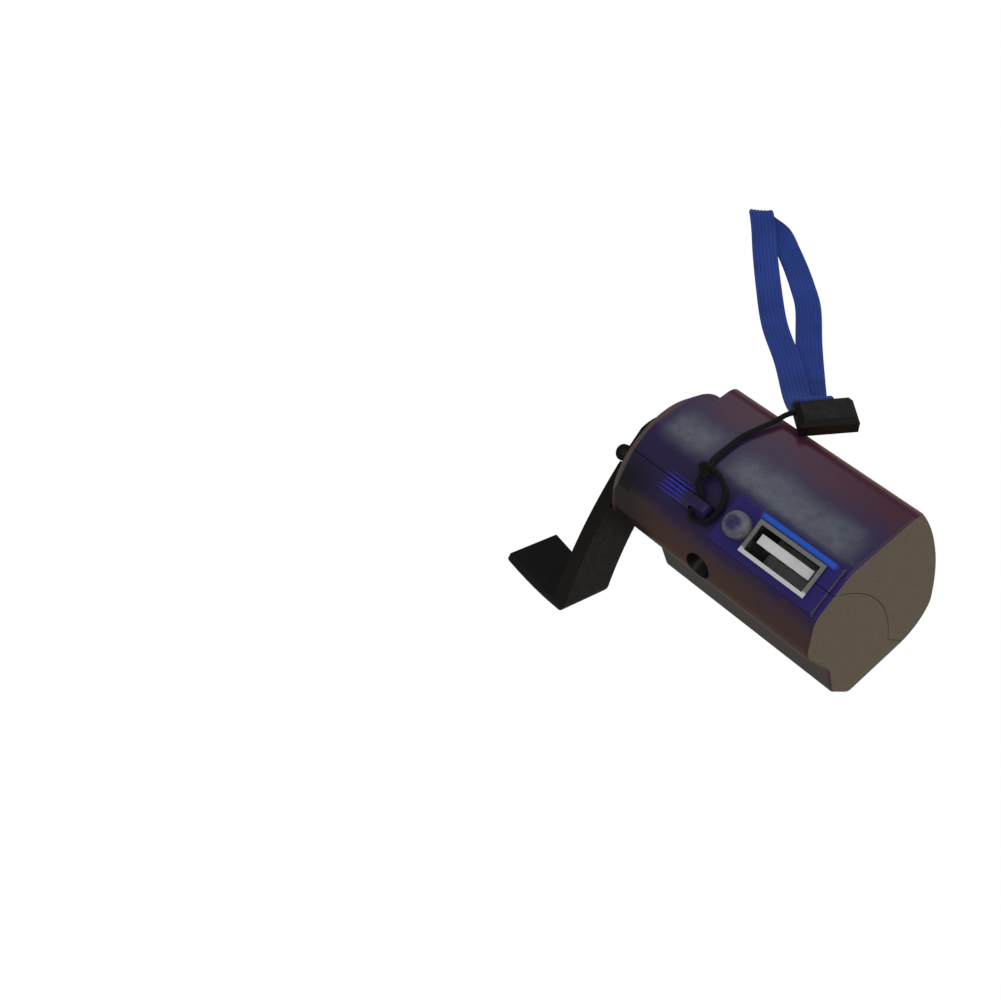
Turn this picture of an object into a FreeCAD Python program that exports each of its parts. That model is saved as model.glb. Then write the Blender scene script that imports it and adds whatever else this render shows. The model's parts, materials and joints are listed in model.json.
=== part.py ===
"""Hand crank phone charger: two-part moulded housing, folding crank, gear train and generator.

The housing frame has X from the crank end to the plain end, Y from front to rear and Z up
through the USB socket. STAND leans that frame forward, so that the slanted underside of the
housing lies on z = 0 with the crank's foot resting beside it.
"""
import FreeCAD, Part
import Sketcher
import math
import os

DOC = FreeCAD.newDocument("HandCrankCharger")
SHEET = DOC.addObject("Spreadsheet::Sheet", "Sizes")

SIZES = {
    # housing outline across the seam: corner points before rounding, then their radii
    "body_length": 47.0,
    "crown_front": 5.4,
    "crown_rear": 4.6,
    "crown_height": 0.2,
    "shoulder_rear": 20.3,
    "shoulder_rear_drop": 10.6,
    "heel_rear": 7.5,
    "heel_drop": 59.3,
    "back_radius": 88.0,
    "toe_front": 13.2,
    "toe_drop": 45.75,
    "bulge_front": 14.6,
    "bulge_drop": 36.0,
    "waist_front": 11.3,
    "waist_drop": 25.5,
    "shoulder_front": 11.4,
    "shoulder_front_drop": 9.0,
    "crown_front_round": 4.0,
    "crown_rear_round": 8.0,
    "shoulder_rear_round": 4.0,
    "heel_round": 8.0,
    "toe_round": 2.5,
    "bulge_round": 8.0,
    "waist_round": 12.0,
    "shoulder_front_round": 8.0,
    "wall": 1.8,
    "edge_break": 0.4,
    # crank end: round boss over a recessed lower face, and the pocket for the crank's foot
    "boss_rise": 5.2,
    "boss_radius": 15.6,
    "boss_chamfer": 2.3,
    "boss_front": 1.2,
    "boss_drop": 0.8,
    "notch_angle": 33.2,
    "notch_reach": 32.2,
    "notch_side": 9.0,
    "notch_length": 16.6,
    "notch_slant": 0.8,
    "pocket_angle": 21.2,
    "pocket_reach": 24.0,
    "pocket_rear": 11.4,
    "pocket_front": 2.8,
    "pocket_length": 5.1,
    "pocket_slant": 0.8,
    # seam between the shells, measured on the plain end
    "seam_radius": 61.0,
    "seam_turn_front": 0.3,
    "seam_turn_drop": 45.0,
    "seam_foot_rear": 2.6,
    "seam_gap": 0.12,
    # raised pad, lanyard lug and the openings of the top
    "pad_start": 23.5,
    "pad_half_width": 4.5,
    "pad_rise": 0.9,
    "lug_start": 13.6,
    "lug_length": 7.6,
    "lug_depth": 2.8,
    "lug_rise": 2.6,
    "lug_round": 1.2,
    "lug_root": 3.2,
    "lug_hole_radius": 0.8,
    "lug_hole_place": 4.7,
    "lug_hole_lift": 1.3,
    "led_place": 26.9,
    "led_radius": 2.5,
    "led_flange_radius": 2.9,
    "led_flange": 1.0,
    "led_height": 4.6,
    "usb_place": 36.5,
    "usb_width": 13.1,
    "usb_thick": 5.72,
    "usb_metal": 0.3,
    "usb_depth": 13.4,
    "usb_stand_out": 0.6,
    "usb_lip": 0.45,
    "tongue_width": 11.1,
    "tongue_thick": 1.84,
    "tongue_offset": 0.5,
    "tongue_base": 1.6,
    "contact_width": 1.0,
    "contact_thick": 0.2,
    "contact_length": 6.5,
    "contact_inner_pitch": 2.0,
    "contact_outer_pitch": 2.5,
    "fit_gap": 0.2,
    # housing screw
    "screw_place": 22.2,
    "screw_drop": 6.8,
    "screw_head_radius": 2.3,
    "screw_head": 1.6,
    "screw_radius": 1.1,
    "screw_length": 12.0,
    "screw_seat": 4.6,
    "screw_well_radius": 2.6,
    "screw_post_radius": 3.1,
    "chevron_place": 22.1,
    "chevron_drop": 16.5,
    "chevron_width": 9.0,
    "chevron_fall": 2.6,
    "chevron_line": 0.7,
    "chevron_rise": 0.3,
    # crank axle, gear train and frame
    "axle_rear": 3.0,
    "axle_drop": 14.0,
    "tooth_module": 0.5,
    "wheel_teeth": 40,
    "pinion_teeth": 14,
    "backlash": 0.14,
    "face_width": 2.4,
    "layer_gap": 0.5,
    "plate": 1.2,
    "ledge": 1.0,
    "ledge_reach": 0.6,
    "pillar_radius": 1.6,
    "pillar_rear": 15.3,
    "pillar_front": 7.4,
    "pillar_drop": 20.8,
    "pillar_low_rear": 10.0,
    "pillar_low_drop": 40.5,
    "wheel_hole_reach": 6.2,
    "wheel_hole_radius": 1.7,
    "shaft_radius": 2.0,
    "shaft_step_radius": 1.5,
    "shaft_end_radius": 1.0,
    "layshaft_radius": 1.0,
    "press_gap": 0.02,
    "run_gap": 0.05,
    "bush_wall": 1.4,
    "bush_flange": 0.9,
    "bush_lip": 0.35,
    # generator
    "can_radius": 11.0,
    "can_length": 14.0,
    "can_wall": 0.6,
    "cap_thick": 1.2,
    "stator_radius": 7.4,
    "rotor_radius": 6.6,
    "rotor_length": 8.0,
    "rotor_shaft_radius": 0.75,
    "generator_bush_radius": 2.0,
    "generator_screw_offset": 7.0,
    "small_screw_radius": 0.8,
    "small_head_radius": 1.3,
    "small_head": 0.8,
    "small_screw_length": 4.0,
    # circuit board and what it carries
    "board_start": 25.5,
    "board_thick": 1.0,
    "board_top": 4.0,
    "board_bottom": 15.4,
    "board_post_radius": 1.6,
    "board_post_inset": 4.2,
    "capacitor_radius": 2.5,
    "capacitor_length": 7.0,
    "chip_length": 5.0,
    "chip_height": 4.0,
    "chip_thick": 1.4,
    "diode_radius": 0.7,
    "diode_length": 3.2,
    "diode_pitch": 2.0,
    "lead_thick": 0.5,
    "lead_pitch": 2.54,
    # folding crank
    "crank_rest": 83.2,
    "hub_gap": 0.5,
    "hub_thick": 3.0,
    "hub_top": 1.8,
    "crank_width": 13.2,
    "arm_gap": 0.2,
    "hinge_reach": 3.8,
    "hinge_lift": 0.3,
    "ear_radius": 1.6,
    "ear_width": 2.4,
    "knuckle_radius": 1.5,
    "knuckle_gap": 0.1,
    "pin_radius": 0.7,
    "arm_radius": 69.5,
    "arm_sweep": 28.0,
    "arm_tail": 3.94,
    "arm_bend": 3.0,
    "arm_inner_bend": 0.8,
    "arm_corner": 3.0,
    "foot_length": 16.9,
    "foot_tilt": 11.0,
    "foot_thick": 2.2,
    "foot_round": 0.5,
    "crank_screw_radius": 1.0,
    "crank_screw_head_radius": 1.8,
    "crank_screw_length": 7.0,
    # wrist strap
    "cord_diameter": 1.0,
    "knot_radius": 1.4,
    "clasp_length": 10.6,
    "clasp_width": 5.6,
    "clasp_thick": 3.2,
    "clasp_chamfer": 0.9,
    "clasp_turn": 51.5,
    "ribbon_width": 6.2,
    "ribbon_thick": 1.0,
}


def fill_sheet():
    """Writes the driving dimensions into the spreadsheet, one alias per row."""
    for row, (name, number) in enumerate(SIZES.items(), start=1):
        SHEET.set("A%d" % row, name)
        SHEET.set("B%d" % row, str(number))
        SHEET.setAlias("B%d" % row, name)
    DOC.recompute()


class Dim(float):
    """A number together with the spreadsheet expression that it comes from."""

    def __new__(cls, number, text):
        made = float.__new__(cls, number)
        made.text = text
        return made

    @staticmethod
    def of(other):
        return other if isinstance(other, Dim) else Dim(other, repr(float(other)))

    def join(self, sign, other, number):
        return Dim(number, "(%s %s %s)" % (self.text, sign, Dim.of(other).text))

    def __add__(self, other):
        return self.join("+", other, float(self) + float(other))

    def __sub__(self, other):
        return self.join("-", other, float(self) - float(other))

    def __mul__(self, other):
        return self.join("*", other, float(self) * float(other))

    def __truediv__(self, other):
        return self.join("/", other, float(self) / float(other))

    def __radd__(self, other):
        return Dim.of(other) + self

    def __rsub__(self, other):
        return Dim.of(other) - self

    def __rmul__(self, other):
        return Dim.of(other) * self

    def __neg__(self):
        return Dim(-float(self), "(0 - %s)" % self.text)


def size(name):
    """The driving dimension of that name."""
    return Dim(SHEET.get(name), "Sizes." + name)


def bind(thing, prop, number):
    """Ties a property to the spreadsheet."""
    thing.setExpression(prop, Dim.of(number).text)


fill_sheet()

LENGTH = size("body_length")
WALL = size("wall")
FIT = size("fit_gap")
PRESS = size("press_gap")
RUN = size("run_gap")
BOSS = size("boss_rise")
CROWN = size("crown_height")
AXLE_Y = size("axle_rear")
AXLE_Z = -size("axle_drop")
CENTRES = size("tooth_module") * (size("wheel_teeth") + size("pinion_teeth")) / 2
LAY_Z = AXLE_Z - CENTRES
INNER_START = BOSS + WALL
INNER_END = LENGTH - WALL
FACE = size("face_width")
LAYER = FACE + size("layer_gap")
FRAME_START = INNER_START + FIT
LAYER_ONE = FRAME_START + size("plate") + size("layer_gap")
LAYER_TWO = LAYER_ONE + LAYER
LAYER_THREE = LAYER_TWO + LAYER
COVER_START = LAYER_THREE + LAYER
COVER_END = COVER_START + size("plate")
CAN_END = COVER_END + size("can_length")
CAP_END = CAN_END + size("cap_thick")
HUB_IN = -size("hub_gap")
HUB_OUT = HUB_IN - size("hub_thick")
HINGE_X = HUB_OUT - size("hinge_lift")
HINGE_S = size("hinge_reach")
USB_HALF = size("usb_width") / 2
USB_TOP = CROWN + size("pad_rise") + size("usb_stand_out")
USB_BOTTOM = USB_TOP - size("usb_depth")
BOARD_FRONT = size("usb_thick") / 2 + PRESS
BOARD_REAR = BOARD_FRONT + size("board_thick")
BOARD_END = INNER_END - FIT
SCREW_Z = -size("screw_drop")

# the lean that brings the line from heel to toe level, and the place of that line
LEAN = math.degrees(math.atan2(size("heel_drop") - size("toe_drop"),
                               size("heel_rear") + size("toe_front")))
SOLE_LENGTH = math.hypot(size("heel_drop") - size("toe_drop"), size("heel_rear") + size("toe_front"))
SOLE_CENTRE = 16.0 / 24.74 * SOLE_LENGTH


def find_stand():
    """The placement that stands the housing on its sole, with the origin on the sole."""
    turn = FreeCAD.Rotation(FreeCAD.Vector(1, 0, 0), LEAN)
    heel = turn.multVec(FreeCAD.Vector(0, size("heel_rear"), -size("heel_drop")))
    shift = FreeCAD.Vector(-LENGTH / 2, SOLE_CENTRE - heel.y, -heel.z)
    return FreeCAD.Placement(shift, turn)


STAND = find_stand()
NODES = []


def finish(thing, label, x=0.0, y=0.0, z=0.0, turn=None):
    """Names a sub-part and puts it in its place in the standing housing."""
    thing.Label = label
    spot = FreeCAD.Placement(FreeCAD.Vector(x, y, z), turn or FreeCAD.Rotation())
    thing.Placement = STAND.multiply(spot)
    NODES.append(thing)
    return thing


def new_body(name):
    return DOC.addObject("PartDesign::Body", name)


def plane(body, role):
    return [f for f in body.Origin.OriginFeatures if f.Role == role][0]


def outline(body, role, corners, start=0.0, arcs=None):
    """A closed sketch through corners, each tied to the sheet; arcs gives a side its radius."""
    sketch = body.newObject("Sketcher::SketchObject", body.Name + "Sketch")
    sketch.AttachmentSupport = [(plane(body, role), "")]
    sketch.MapMode = "FlatFace"
    if isinstance(start, Dim):
        sketch.setExpression("AttachmentOffset.Base.z", start.text)
    else:
        sketch.AttachmentOffset = FreeCAD.Placement(FreeCAD.Vector(0, 0, start), FreeCAD.Rotation())
    arcs = arcs or {}
    points = [FreeCAD.Vector(float(a), float(b), 0) for a, b in corners]
    ends = []
    for i, first in enumerate(points):
        last = points[(i + 1) % len(points)]
        ends.append(add_side(sketch, first, last, arcs.get(i)))
    for i, (geometry, begin, end, follow) in enumerate(ends):
        after = ends[(i + 1) % len(ends)]
        sketch.addConstraint(Sketcher.Constraint("Coincident", geometry, end, after[0], after[1]))
        tie_point(sketch, geometry, begin, corners[i])
        if i in arcs:
            spot = sketch.addConstraint(Sketcher.Constraint("Radius", geometry, abs(float(arcs[i]))))
            sketch.setExpression("Constraints[%d]" % spot, Dim.of(follow).text)
    return sketch


def add_side(sketch, first, last, radius):
    """Adds a line, or an arc that bulges to the left of its way for a positive radius."""
    if radius is None:
        return sketch.addGeometry(Part.LineSegment(first, last)), 1, 2, None
    reach = abs(float(radius))
    chord = last - first
    across = FreeCAD.Vector(-chord.y, chord.x, 0).normalize()
    depth = math.sqrt(reach ** 2 - (chord.Length / 2) ** 2)
    side = -1 if float(radius) > 0 else 1
    centre = first + chord * 0.5 + across * depth * side
    circle = Part.Circle(centre, FreeCAD.Vector(0, 0, 1), reach)
    follow = radius if float(radius) > 0 else -radius
    if side > 0:
        arc = Part.ArcOfCircle(circle, circle.parameter(first), circle.parameter(last))
        return sketch.addGeometry(arc), 1, 2, follow
    arc = Part.ArcOfCircle(circle, circle.parameter(last), circle.parameter(first))
    return sketch.addGeometry(arc), 2, 1, follow


def tie_point(sketch, geometry, end, corner):
    """Holds one end of a side at its distances from the sketch's origin."""
    for kind, number in (("DistanceX", corner[0]), ("DistanceY", corner[1])):
        made = Sketcher.Constraint(kind, -1, 1, geometry, end, float(number))
        spot = sketch.addConstraint(made)
        sketch.setExpression("Constraints[%d]" % spot, Dim.of(number).text)


def pad(body, sketch, length, both_ways=False):
    made = body.newObject("PartDesign::Pad", body.Name + "Pad")
    made.Profile = sketch
    made.Midplane = both_ways
    bind(made, "Length", length)
    DOC.recompute()
    return made


def slab(name, role, corners, start, length, arcs=None, both_ways=False):
    """A body made by padding one outline."""
    body = new_body(name)
    pad(body, outline(body, role, corners, start, arcs), length, both_ways)
    return body


def turned(name, profile):
    """A body turned about the X axis from (x, radius) corners."""
    body = new_body(name)
    sketch = outline(body, "XY_Plane", profile)
    made = body.newObject("PartDesign::Revolution", name + "Turn")
    made.Profile = sketch
    made.ReferenceAxis = (sketch, ["H_Axis"])
    made.Angle = 360.0
    DOC.recompute()
    return body


def rod(name, radius, start, end):
    """A plain round bar along X."""
    return turned(name, [(start, 0.0), (end, 0.0), (end, radius), (start, radius)])


def tube(name, inner, outer, start, end):
    return turned(name, [(start, inner), (end, inner), (end, outer), (start, outer)])


def rectangle(low, high):
    return [(low[0], low[1]), (high[0], low[1]), (high[0], high[1]), (low[0], high[1])]


def box(name, x, y, z):
    """A block between two limits on each axis."""
    made = DOC.addObject("Part::Box", name)
    bind(made, "Length", Dim.of(x[1]) - x[0])
    bind(made, "Width", Dim.of(y[1]) - y[0])
    bind(made, "Height", Dim.of(z[1]) - z[0])
    for axis, low in (("x", x[0]), ("y", y[0]), ("z", z[0])):
        made.setExpression(".Placement.Base." + axis, Dim.of(low).text)
    return made


def pin(name, radius, length, spot, axis):
    """A cylinder that starts at spot and runs along axis."""
    made = DOC.addObject("Part::Cylinder", name)
    bind(made, "Radius", radius)
    bind(made, "Height", length)
    turn = FreeCAD.Rotation(FreeCAD.Vector(0, 0, 1), FreeCAD.Vector(*axis))
    made.Placement = FreeCAD.Placement(FreeCAD.Vector(*spot), turn)
    return made


def moved(thing, x=0.0, y=0.0, z=0.0):
    thing.Placement = FreeCAD.Placement(FreeCAD.Vector(x, y, z), FreeCAD.Rotation())
    return thing


def fuse(name, things):
    made = DOC.addObject("Part::MultiFuse", name)
    made.Shapes = things
    made.Refine = True
    DOC.recompute()
    return made


def cut(name, base, tool):
    made = DOC.addObject("Part::Cut", name)
    made.Base = base
    made.Tool = tool
    DOC.recompute()
    return made


def common(name, first, second):
    made = DOC.addObject("Part::Common", name)
    made.Base = first
    made.Tool = second
    DOC.recompute()
    return made


def grown(name, source, amount):
    """The solid of source with every face moved out, or in for a negative amount."""
    made = DOC.addObject("Part::Offset", name)
    made.Source = source
    bind(made, "Value", amount)
    made.Join = "Intersection"
    DOC.recompute()
    return made


def round_edges(body, feature, spots, radius):
    """Fillets the edges of a feature that pass within reach of the spots."""
    names = []
    for i, edge in enumerate(feature.Shape.Edges, start=1):
        for spot in spots:
            probe = Part.Vertex(FreeCAD.Vector(*spot))
            if edge.distToShape(probe)[0] < 0.02 and "Edge%d" % i not in names:
                names.append("Edge%d" % i)
    made = body.newObject("PartDesign::Fillet", body.Name + "Round")
    made.Base = (feature, names)
    bind(made, "Radius", radius)
    DOC.recompute()
    return made


def housing_form(name, start, length):
    """The rounded outer form of the housing over a stretch of its length."""
    corners = [
        (-size("crown_front"), CROWN),
        (size("crown_rear"), CROWN),
        (size("shoulder_rear"), -size("shoulder_rear_drop")),
        (size("heel_rear"), -size("heel_drop")),
        (-size("toe_front"), -size("toe_drop")),
        (-size("bulge_front"), -size("bulge_drop")),
        (-size("waist_front"), -size("waist_drop")),
        (-size("shoulder_front"), -size("shoulder_front_drop")),
    ]
    rounds = ["crown_front_round", "crown_rear_round", "shoulder_rear_round", "heel_round",
              "toe_round", "bulge_round", "waist_round", "shoulder_front_round"]
    body = slab(name, "YZ_Plane", corners, start, length, {2: size("back_radius")})
    for (y, z), radius in zip(corners, rounds):
        middle = float(start) + float(length) / 2
        round_edges(body, body.Tip, [(middle, float(y), float(z))], size(radius))
    return body


def recess(name, kind, margin, rear, front):
    """A space cut in from the sole and the crank end, with its faces moved out by margin."""
    near = -size(kind + "_reach") + margin
    far = near - 20.0
    end = BOSS + size(kind + "_length") + margin
    start = BOSS - 4.0
    slant = size(kind + "_slant")
    corners = [(start, near), (end - slant, near), (end, near - 8.0), (end, far), (start, far)]
    body = slab(name, "XZ_Plane", corners, -(rear + margin), rear + margin + front)
    turn = FreeCAD.Rotation(FreeCAD.Vector(1, 0, 0), -size(kind + "_angle"))
    body.Placement = FreeCAD.Placement(FreeCAD.Vector(0, AXLE_Y, AXLE_Z), turn)
    return body


def notch_form(name, margin):
    """The low notch along the toe and the pocket above it that takes the folded crank's foot."""
    notch = recess(name + "Low", "notch", margin, size("notch_side"), Dim.of(20.0))
    pocket = recess(name + "Deep", "pocket", margin, size("pocket_rear"), size("pocket_front") + margin)
    return fuse(name, [notch, pocket])


def boss_form():
    """The round end of the housing that carries the crank, bevelled all round."""
    wide = size("boss_radius")
    profile = [(0.0, 0.0), (0.0, wide - size("boss_chamfer")), (size("boss_chamfer"), wide),
               (BOSS + 0.5, wide), (BOSS + 0.5, 0.0)]
    disc = turned("BossDisc", profile)
    moved(disc, 0, AXLE_Y - size("boss_front"), AXLE_Z - size("boss_drop"))
    return common("Boss", disc, housing_form("BossForm", 0.0, BOSS + 0.5))


def pad_form():
    half = size("pad_half_width")
    top = CROWN + size("pad_rise")
    skirt = half + 1.2
    corners = [(-skirt, -3.0), (-half, top), (half, top), (skirt, -3.0)]
    return slab("TopPad", "YZ_Plane", corners, size("pad_start"), LENGTH - size("pad_start") - 1.0)


def lug_form():
    """The lanyard lug on the crown, rounded along its top, without its hole."""
    start = size("lug_start")
    top = CROWN + size("lug_rise")
    rear = -size("seam_gap") / 2
    corners = [(-size("lug_depth"), -size("lug_root")), (-size("lug_depth"), top - 1.6),
               (-size("lug_depth") + 1.2, top), (rear, top), (rear, -size("lug_root"))]
    body = slab("Lug", "YZ_Plane", corners, start, size("lug_length"))
    spots = [(float(start), -1.0, float(top)), (float(start + size("lug_length")), -1.0, float(top))]
    round_edges(body, body.Tip, spots, size("lug_round"))
    return body


def chevron_form():
    """The raised moulded mark below the screw well."""
    half = size("chevron_width") / 2
    line = size("chevron_line")
    middle = size("chevron_place")
    top = -size("chevron_drop")
    low = top - size("chevron_fall")
    corners = [(middle - half, top), (middle, low), (middle + half, top), (middle + half, top - line),
               (middle, low - line), (middle - half, top - line)]
    face = size("waist_front")
    return slab("Chevron", "XZ_Plane", corners, face - 1.0, size("chevron_rise") + 1.1)


def half_form(name, side):
    """All the space on one side of the seam: side is -1 for the front, 1 for the rear."""
    gap = size("seam_gap") / 2 * side
    turn = (gap - size("seam_turn_front"), -size("seam_turn_drop"))
    foot = (gap + size("seam_foot_rear"), -62.0)
    if side < 0:
        corners = [(-40.0, 20.0), (gap, 20.0), (gap, 0.0), turn, foot, (-40.0, -62.0)]
        return slab(name, "YZ_Plane", corners, -5.0, LENGTH + 10.0, {2: size("seam_radius")})
    corners = [(gap, 20.0), (60.0, 20.0), (60.0, -62.0), foot, turn, (gap, 0.0)]
    return slab(name, "YZ_Plane", corners, -5.0, LENGTH + 10.0, {4: -size("seam_radius")})


def break_end_edge(body):
    """Chamfers the outline of the plain end."""
    names = []
    before = body.Tip
    for i, edge in enumerate(before.Shape.Edges, start=1):
        if all(abs(v.X - LENGTH) < 0.01 for v in edge.Vertexes):
            names.append("Edge%d" % i)
    made = body.newObject("PartDesign::Chamfer", "EndBreak")
    made.Base = (before, names)
    bind(made, "Size", size("edge_break"))
    DOC.recompute()


def board_post_places():
    inset = size("board_post_inset")
    drop = -size("board_bottom") + 2.0
    return [(size("board_start") + inset, drop), (BOARD_END - inset, drop)]


def pillar_places():
    return [(size("pillar_rear"), -size("pillar_drop")), (-size("pillar_front"), -size("pillar_drop")),
            (size("pillar_low_rear"), -size("pillar_low_drop"))]


def make_shells():
    """The moulded housing, hollowed and then split along the seam."""
    hull = housing_form("Hull", BOSS, LENGTH - BOSS)
    break_end_edge(hull)
    core = grown("Core", housing_form("CoreForm", BOSS, LENGTH - BOSS), -WALL)
    outer = fuse("Outside", [hull, boss_form(), pad_form(), lug_form(), chevron_form()])
    hollow = cut("Hollow", outer, core)
    rings = []
    ring = cut("LedgeRing", core, grown("LedgeInside", core, -size("ledge_reach")))
    band = box("LedgeBand", (COVER_END + 0.1, COVER_END + 0.1 + size("ledge")), (-40.0, 40.0), (-70.0, 5.0))
    rings.append(common("Ledge", ring, band))
    lining = notch_form("NotchLining", WALL)
    posts = [pin("ScrewPost", size("screw_post_radius"), 60.0,
                 (size("screw_place"), -30.0, SCREW_Z), (0, 1, 0))]
    for i, (x, z) in enumerate(board_post_places()):
        posts.append(pin("BoardPost%d" % i, size("board_post_radius"), 40.0, (x, BOARD_REAR, z), (0, 1, 0)))
    inner = common("Inner", fuse("InnerForms", [lining] + posts), hull)
    housing = fuse("Housing", [hollow, inner] + rings)
    openings = [notch_form("Notch", Dim.of(0.0)), *well_forms(), *top_openings()]
    bare = cut("BareHousing", housing, fuse("Openings", openings))
    finish(common("FrontShell", bare, half_form("FrontHalf", -1)), "front_shell")
    finish(common("RearShell", bare, half_form("RearHalf", 1)), "rear_shell")
    return core


def well_forms():
    """Holes for the housing screw and the board screws."""
    spot = (size("screw_place"), -30.0, SCREW_Z)
    seat = 30.0 - size("screw_seat")
    end = seat + size("screw_length") + 0.6
    forms = [pin("Well", size("screw_well_radius"), seat, spot, (0, 1, 0)),
             pin("ScrewWay", size("screw_radius") + PRESS, end, spot, (0, 1, 0))]
    for i, (x, z) in enumerate(board_post_places()):
        forms.append(pin("BoardPilot%d" % i, size("small_screw_radius") + PRESS,
                         size("small_screw_length"), (x, BOARD_FRONT, z), (0, 1, 0)))
    return forms


def top_openings():
    """The socket's and lamp's holes, the lug's eye and the bore for the crank's bush."""
    reach = USB_HALF + FIT
    thick = size("usb_thick") / 2 + FIT
    middle = size("usb_place")
    eye = (size("lug_start") + size("lug_hole_place"), -20.0, CROWN + size("lug_hole_lift"))
    bush = pin("BushBore", size("shaft_radius") + size("bush_wall") + PRESS, BOSS + WALL + 2.0,
               (-1.0, AXLE_Y, AXLE_Z), (1, 0, 0))
    return [box("SocketHole", (middle - reach, middle + reach), (-thick, thick), (-6.0, 8.0)),
            pin("LampHole", size("led_radius") + PRESS, 12.0, (size("led_place"), 0, -4.0), (0, 0, 1)),
            pin("LugEye", size("lug_hole_radius"), 40.0, eye, (0, 1, 0)), bush]


def make_housing_screw():
    head = size("screw_head")
    wide = size("screw_head_radius")
    thin = size("screw_radius")
    end = head + size("screw_length")
    profile = [(0.0, 0.0), (0.0, wide - 0.5), (0.5, wide), (head, wide), (head, thin),
               (end - 1.0, thin), (end, 0.0)]
    screw = turned("ShellScrew", profile)
    turn = FreeCAD.Rotation(FreeCAD.Vector(1, 0, 0), FreeCAD.Vector(0, 1, 0))
    finish(screw, "shell_screw", size("screw_place"), -size("screw_seat") - head, SCREW_Z, turn)


def small_screw(name, spot, axis):
    """A cap screw whose head's underside lies at spot; it runs along axis."""
    way = FreeCAD.Vector(*axis)
    back = FreeCAD.Vector(*spot) - way * float(size("small_head"))
    head = pin(name + "Head", size("small_head_radius"), size("small_head"), tuple(back), axis)
    stem = pin(name + "Stem", size("small_screw_radius"), size("small_screw_length"), spot, axis)
    return fuse(name, [head, stem])


def group(label, things):
    """Several separate solids in one node."""
    made = DOC.addObject("Part::Compound", label.title().replace("_", ""))
    made.Links = things
    DOC.recompute()
    return finish(made, label)


def tooth_ring(teeth, start, end):
    """The solid of a spur gear about X, with involute flanks and short teeth."""
    module = float(size("tooth_module"))
    pitch = module * teeth / 2
    base = pitch * math.cos(math.radians(20.0))
    tip = pitch + 0.8 * module
    root = pitch - 1.1 * module
    half = math.pi / (2 * teeth) - float(size("backlash")) / 2 / pitch

    def spread(radius):
        """The angle of the flank from the tooth's centre line at a radius."""
        def roll(r):
            lean = math.acos(min(1.0, base / r))
            return math.tan(lean) - lean
        return half + roll(pitch) - roll(max(radius, base))

    radii = [root, max(base, root) + 0.02, pitch, tip]
    points = []
    for tooth in range(teeth):
        centre = 2 * math.pi * tooth / teeth
        flank = [(r, spread(r)) for r in radii]
        for r, a in [(r, -a) for r, a in flank] + flank[::-1]:
            points.append(FreeCAD.Vector(float(start), r * math.cos(centre + a), r * math.sin(centre + a)))
    wire = Part.makePolygon(points + points[:1])
    return Part.Face(wire).extrude(FreeCAD.Vector(float(end) - float(start), 0, 0))


def gear(label, rings, bore, y, z, holes=True):
    """A gear of one or more tooth rings on one axis: rings holds (teeth, start, end)."""
    solid = None
    for teeth, start, end in rings:
        ring = tooth_ring(int(teeth), start, end)
        if holes and teeth > 30:
            reach = float(size("wheel_hole_reach"))
            wide = float(size("wheel_hole_radius"))
            for i in range(5):
                angle = 2 * math.pi * i / 5
                spot = FreeCAD.Vector(start - 1, reach * math.cos(angle), reach * math.sin(angle))
                ring = ring.cut(Part.makeCylinder(wide, end - start + 2, spot, FreeCAD.Vector(1, 0, 0)))
        solid = ring if solid is None else solid.fuse(ring)
    low = min(float(r[1]) for r in rings)
    high = max(float(r[2]) for r in rings)
    hole = Part.makeCylinder(float(bore), high - low + 2, FreeCAD.Vector(low - 1, 0, 0), FreeCAD.Vector(1, 0, 0))
    made = DOC.addObject("Part::Feature", label.title().replace("_", ""))
    made.Shape = solid.cut(hole).removeSplitter()
    return finish(made, label, 0, y, z)


def make_gears():
    wheel = size("wheel_teeth")
    pinion = size("pinion_teeth")
    gear("crank_gear", [(wheel, LAYER_ONE, LAYER_ONE + FACE)], size("shaft_step_radius") + PRESS, AXLE_Y, AXLE_Z)
    gear("first_gear", [(pinion, LAYER_ONE, LAYER_TWO), (wheel, LAYER_TWO, LAYER_TWO + FACE)],
         size("layshaft_radius") + RUN, AXLE_Y, LAY_Z)
    gear("second_gear", [(pinion, LAYER_TWO, LAYER_THREE), (wheel, LAYER_THREE, LAYER_THREE + FACE)],
         size("shaft_end_radius") + RUN, AXLE_Y, AXLE_Z)
    gear("generator_pinion", [(pinion, LAYER_THREE, LAYER_THREE + FACE)],
         size("rotor_shaft_radius") + PRESS, AXLE_Y, LAY_Z)
    layshaft = rod("Layshaft", size("layshaft_radius"), FRAME_START, LAYER_TWO + FACE + 0.2)
    finish(layshaft, "layshaft", 0, AXLE_Y, LAY_Z)


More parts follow.
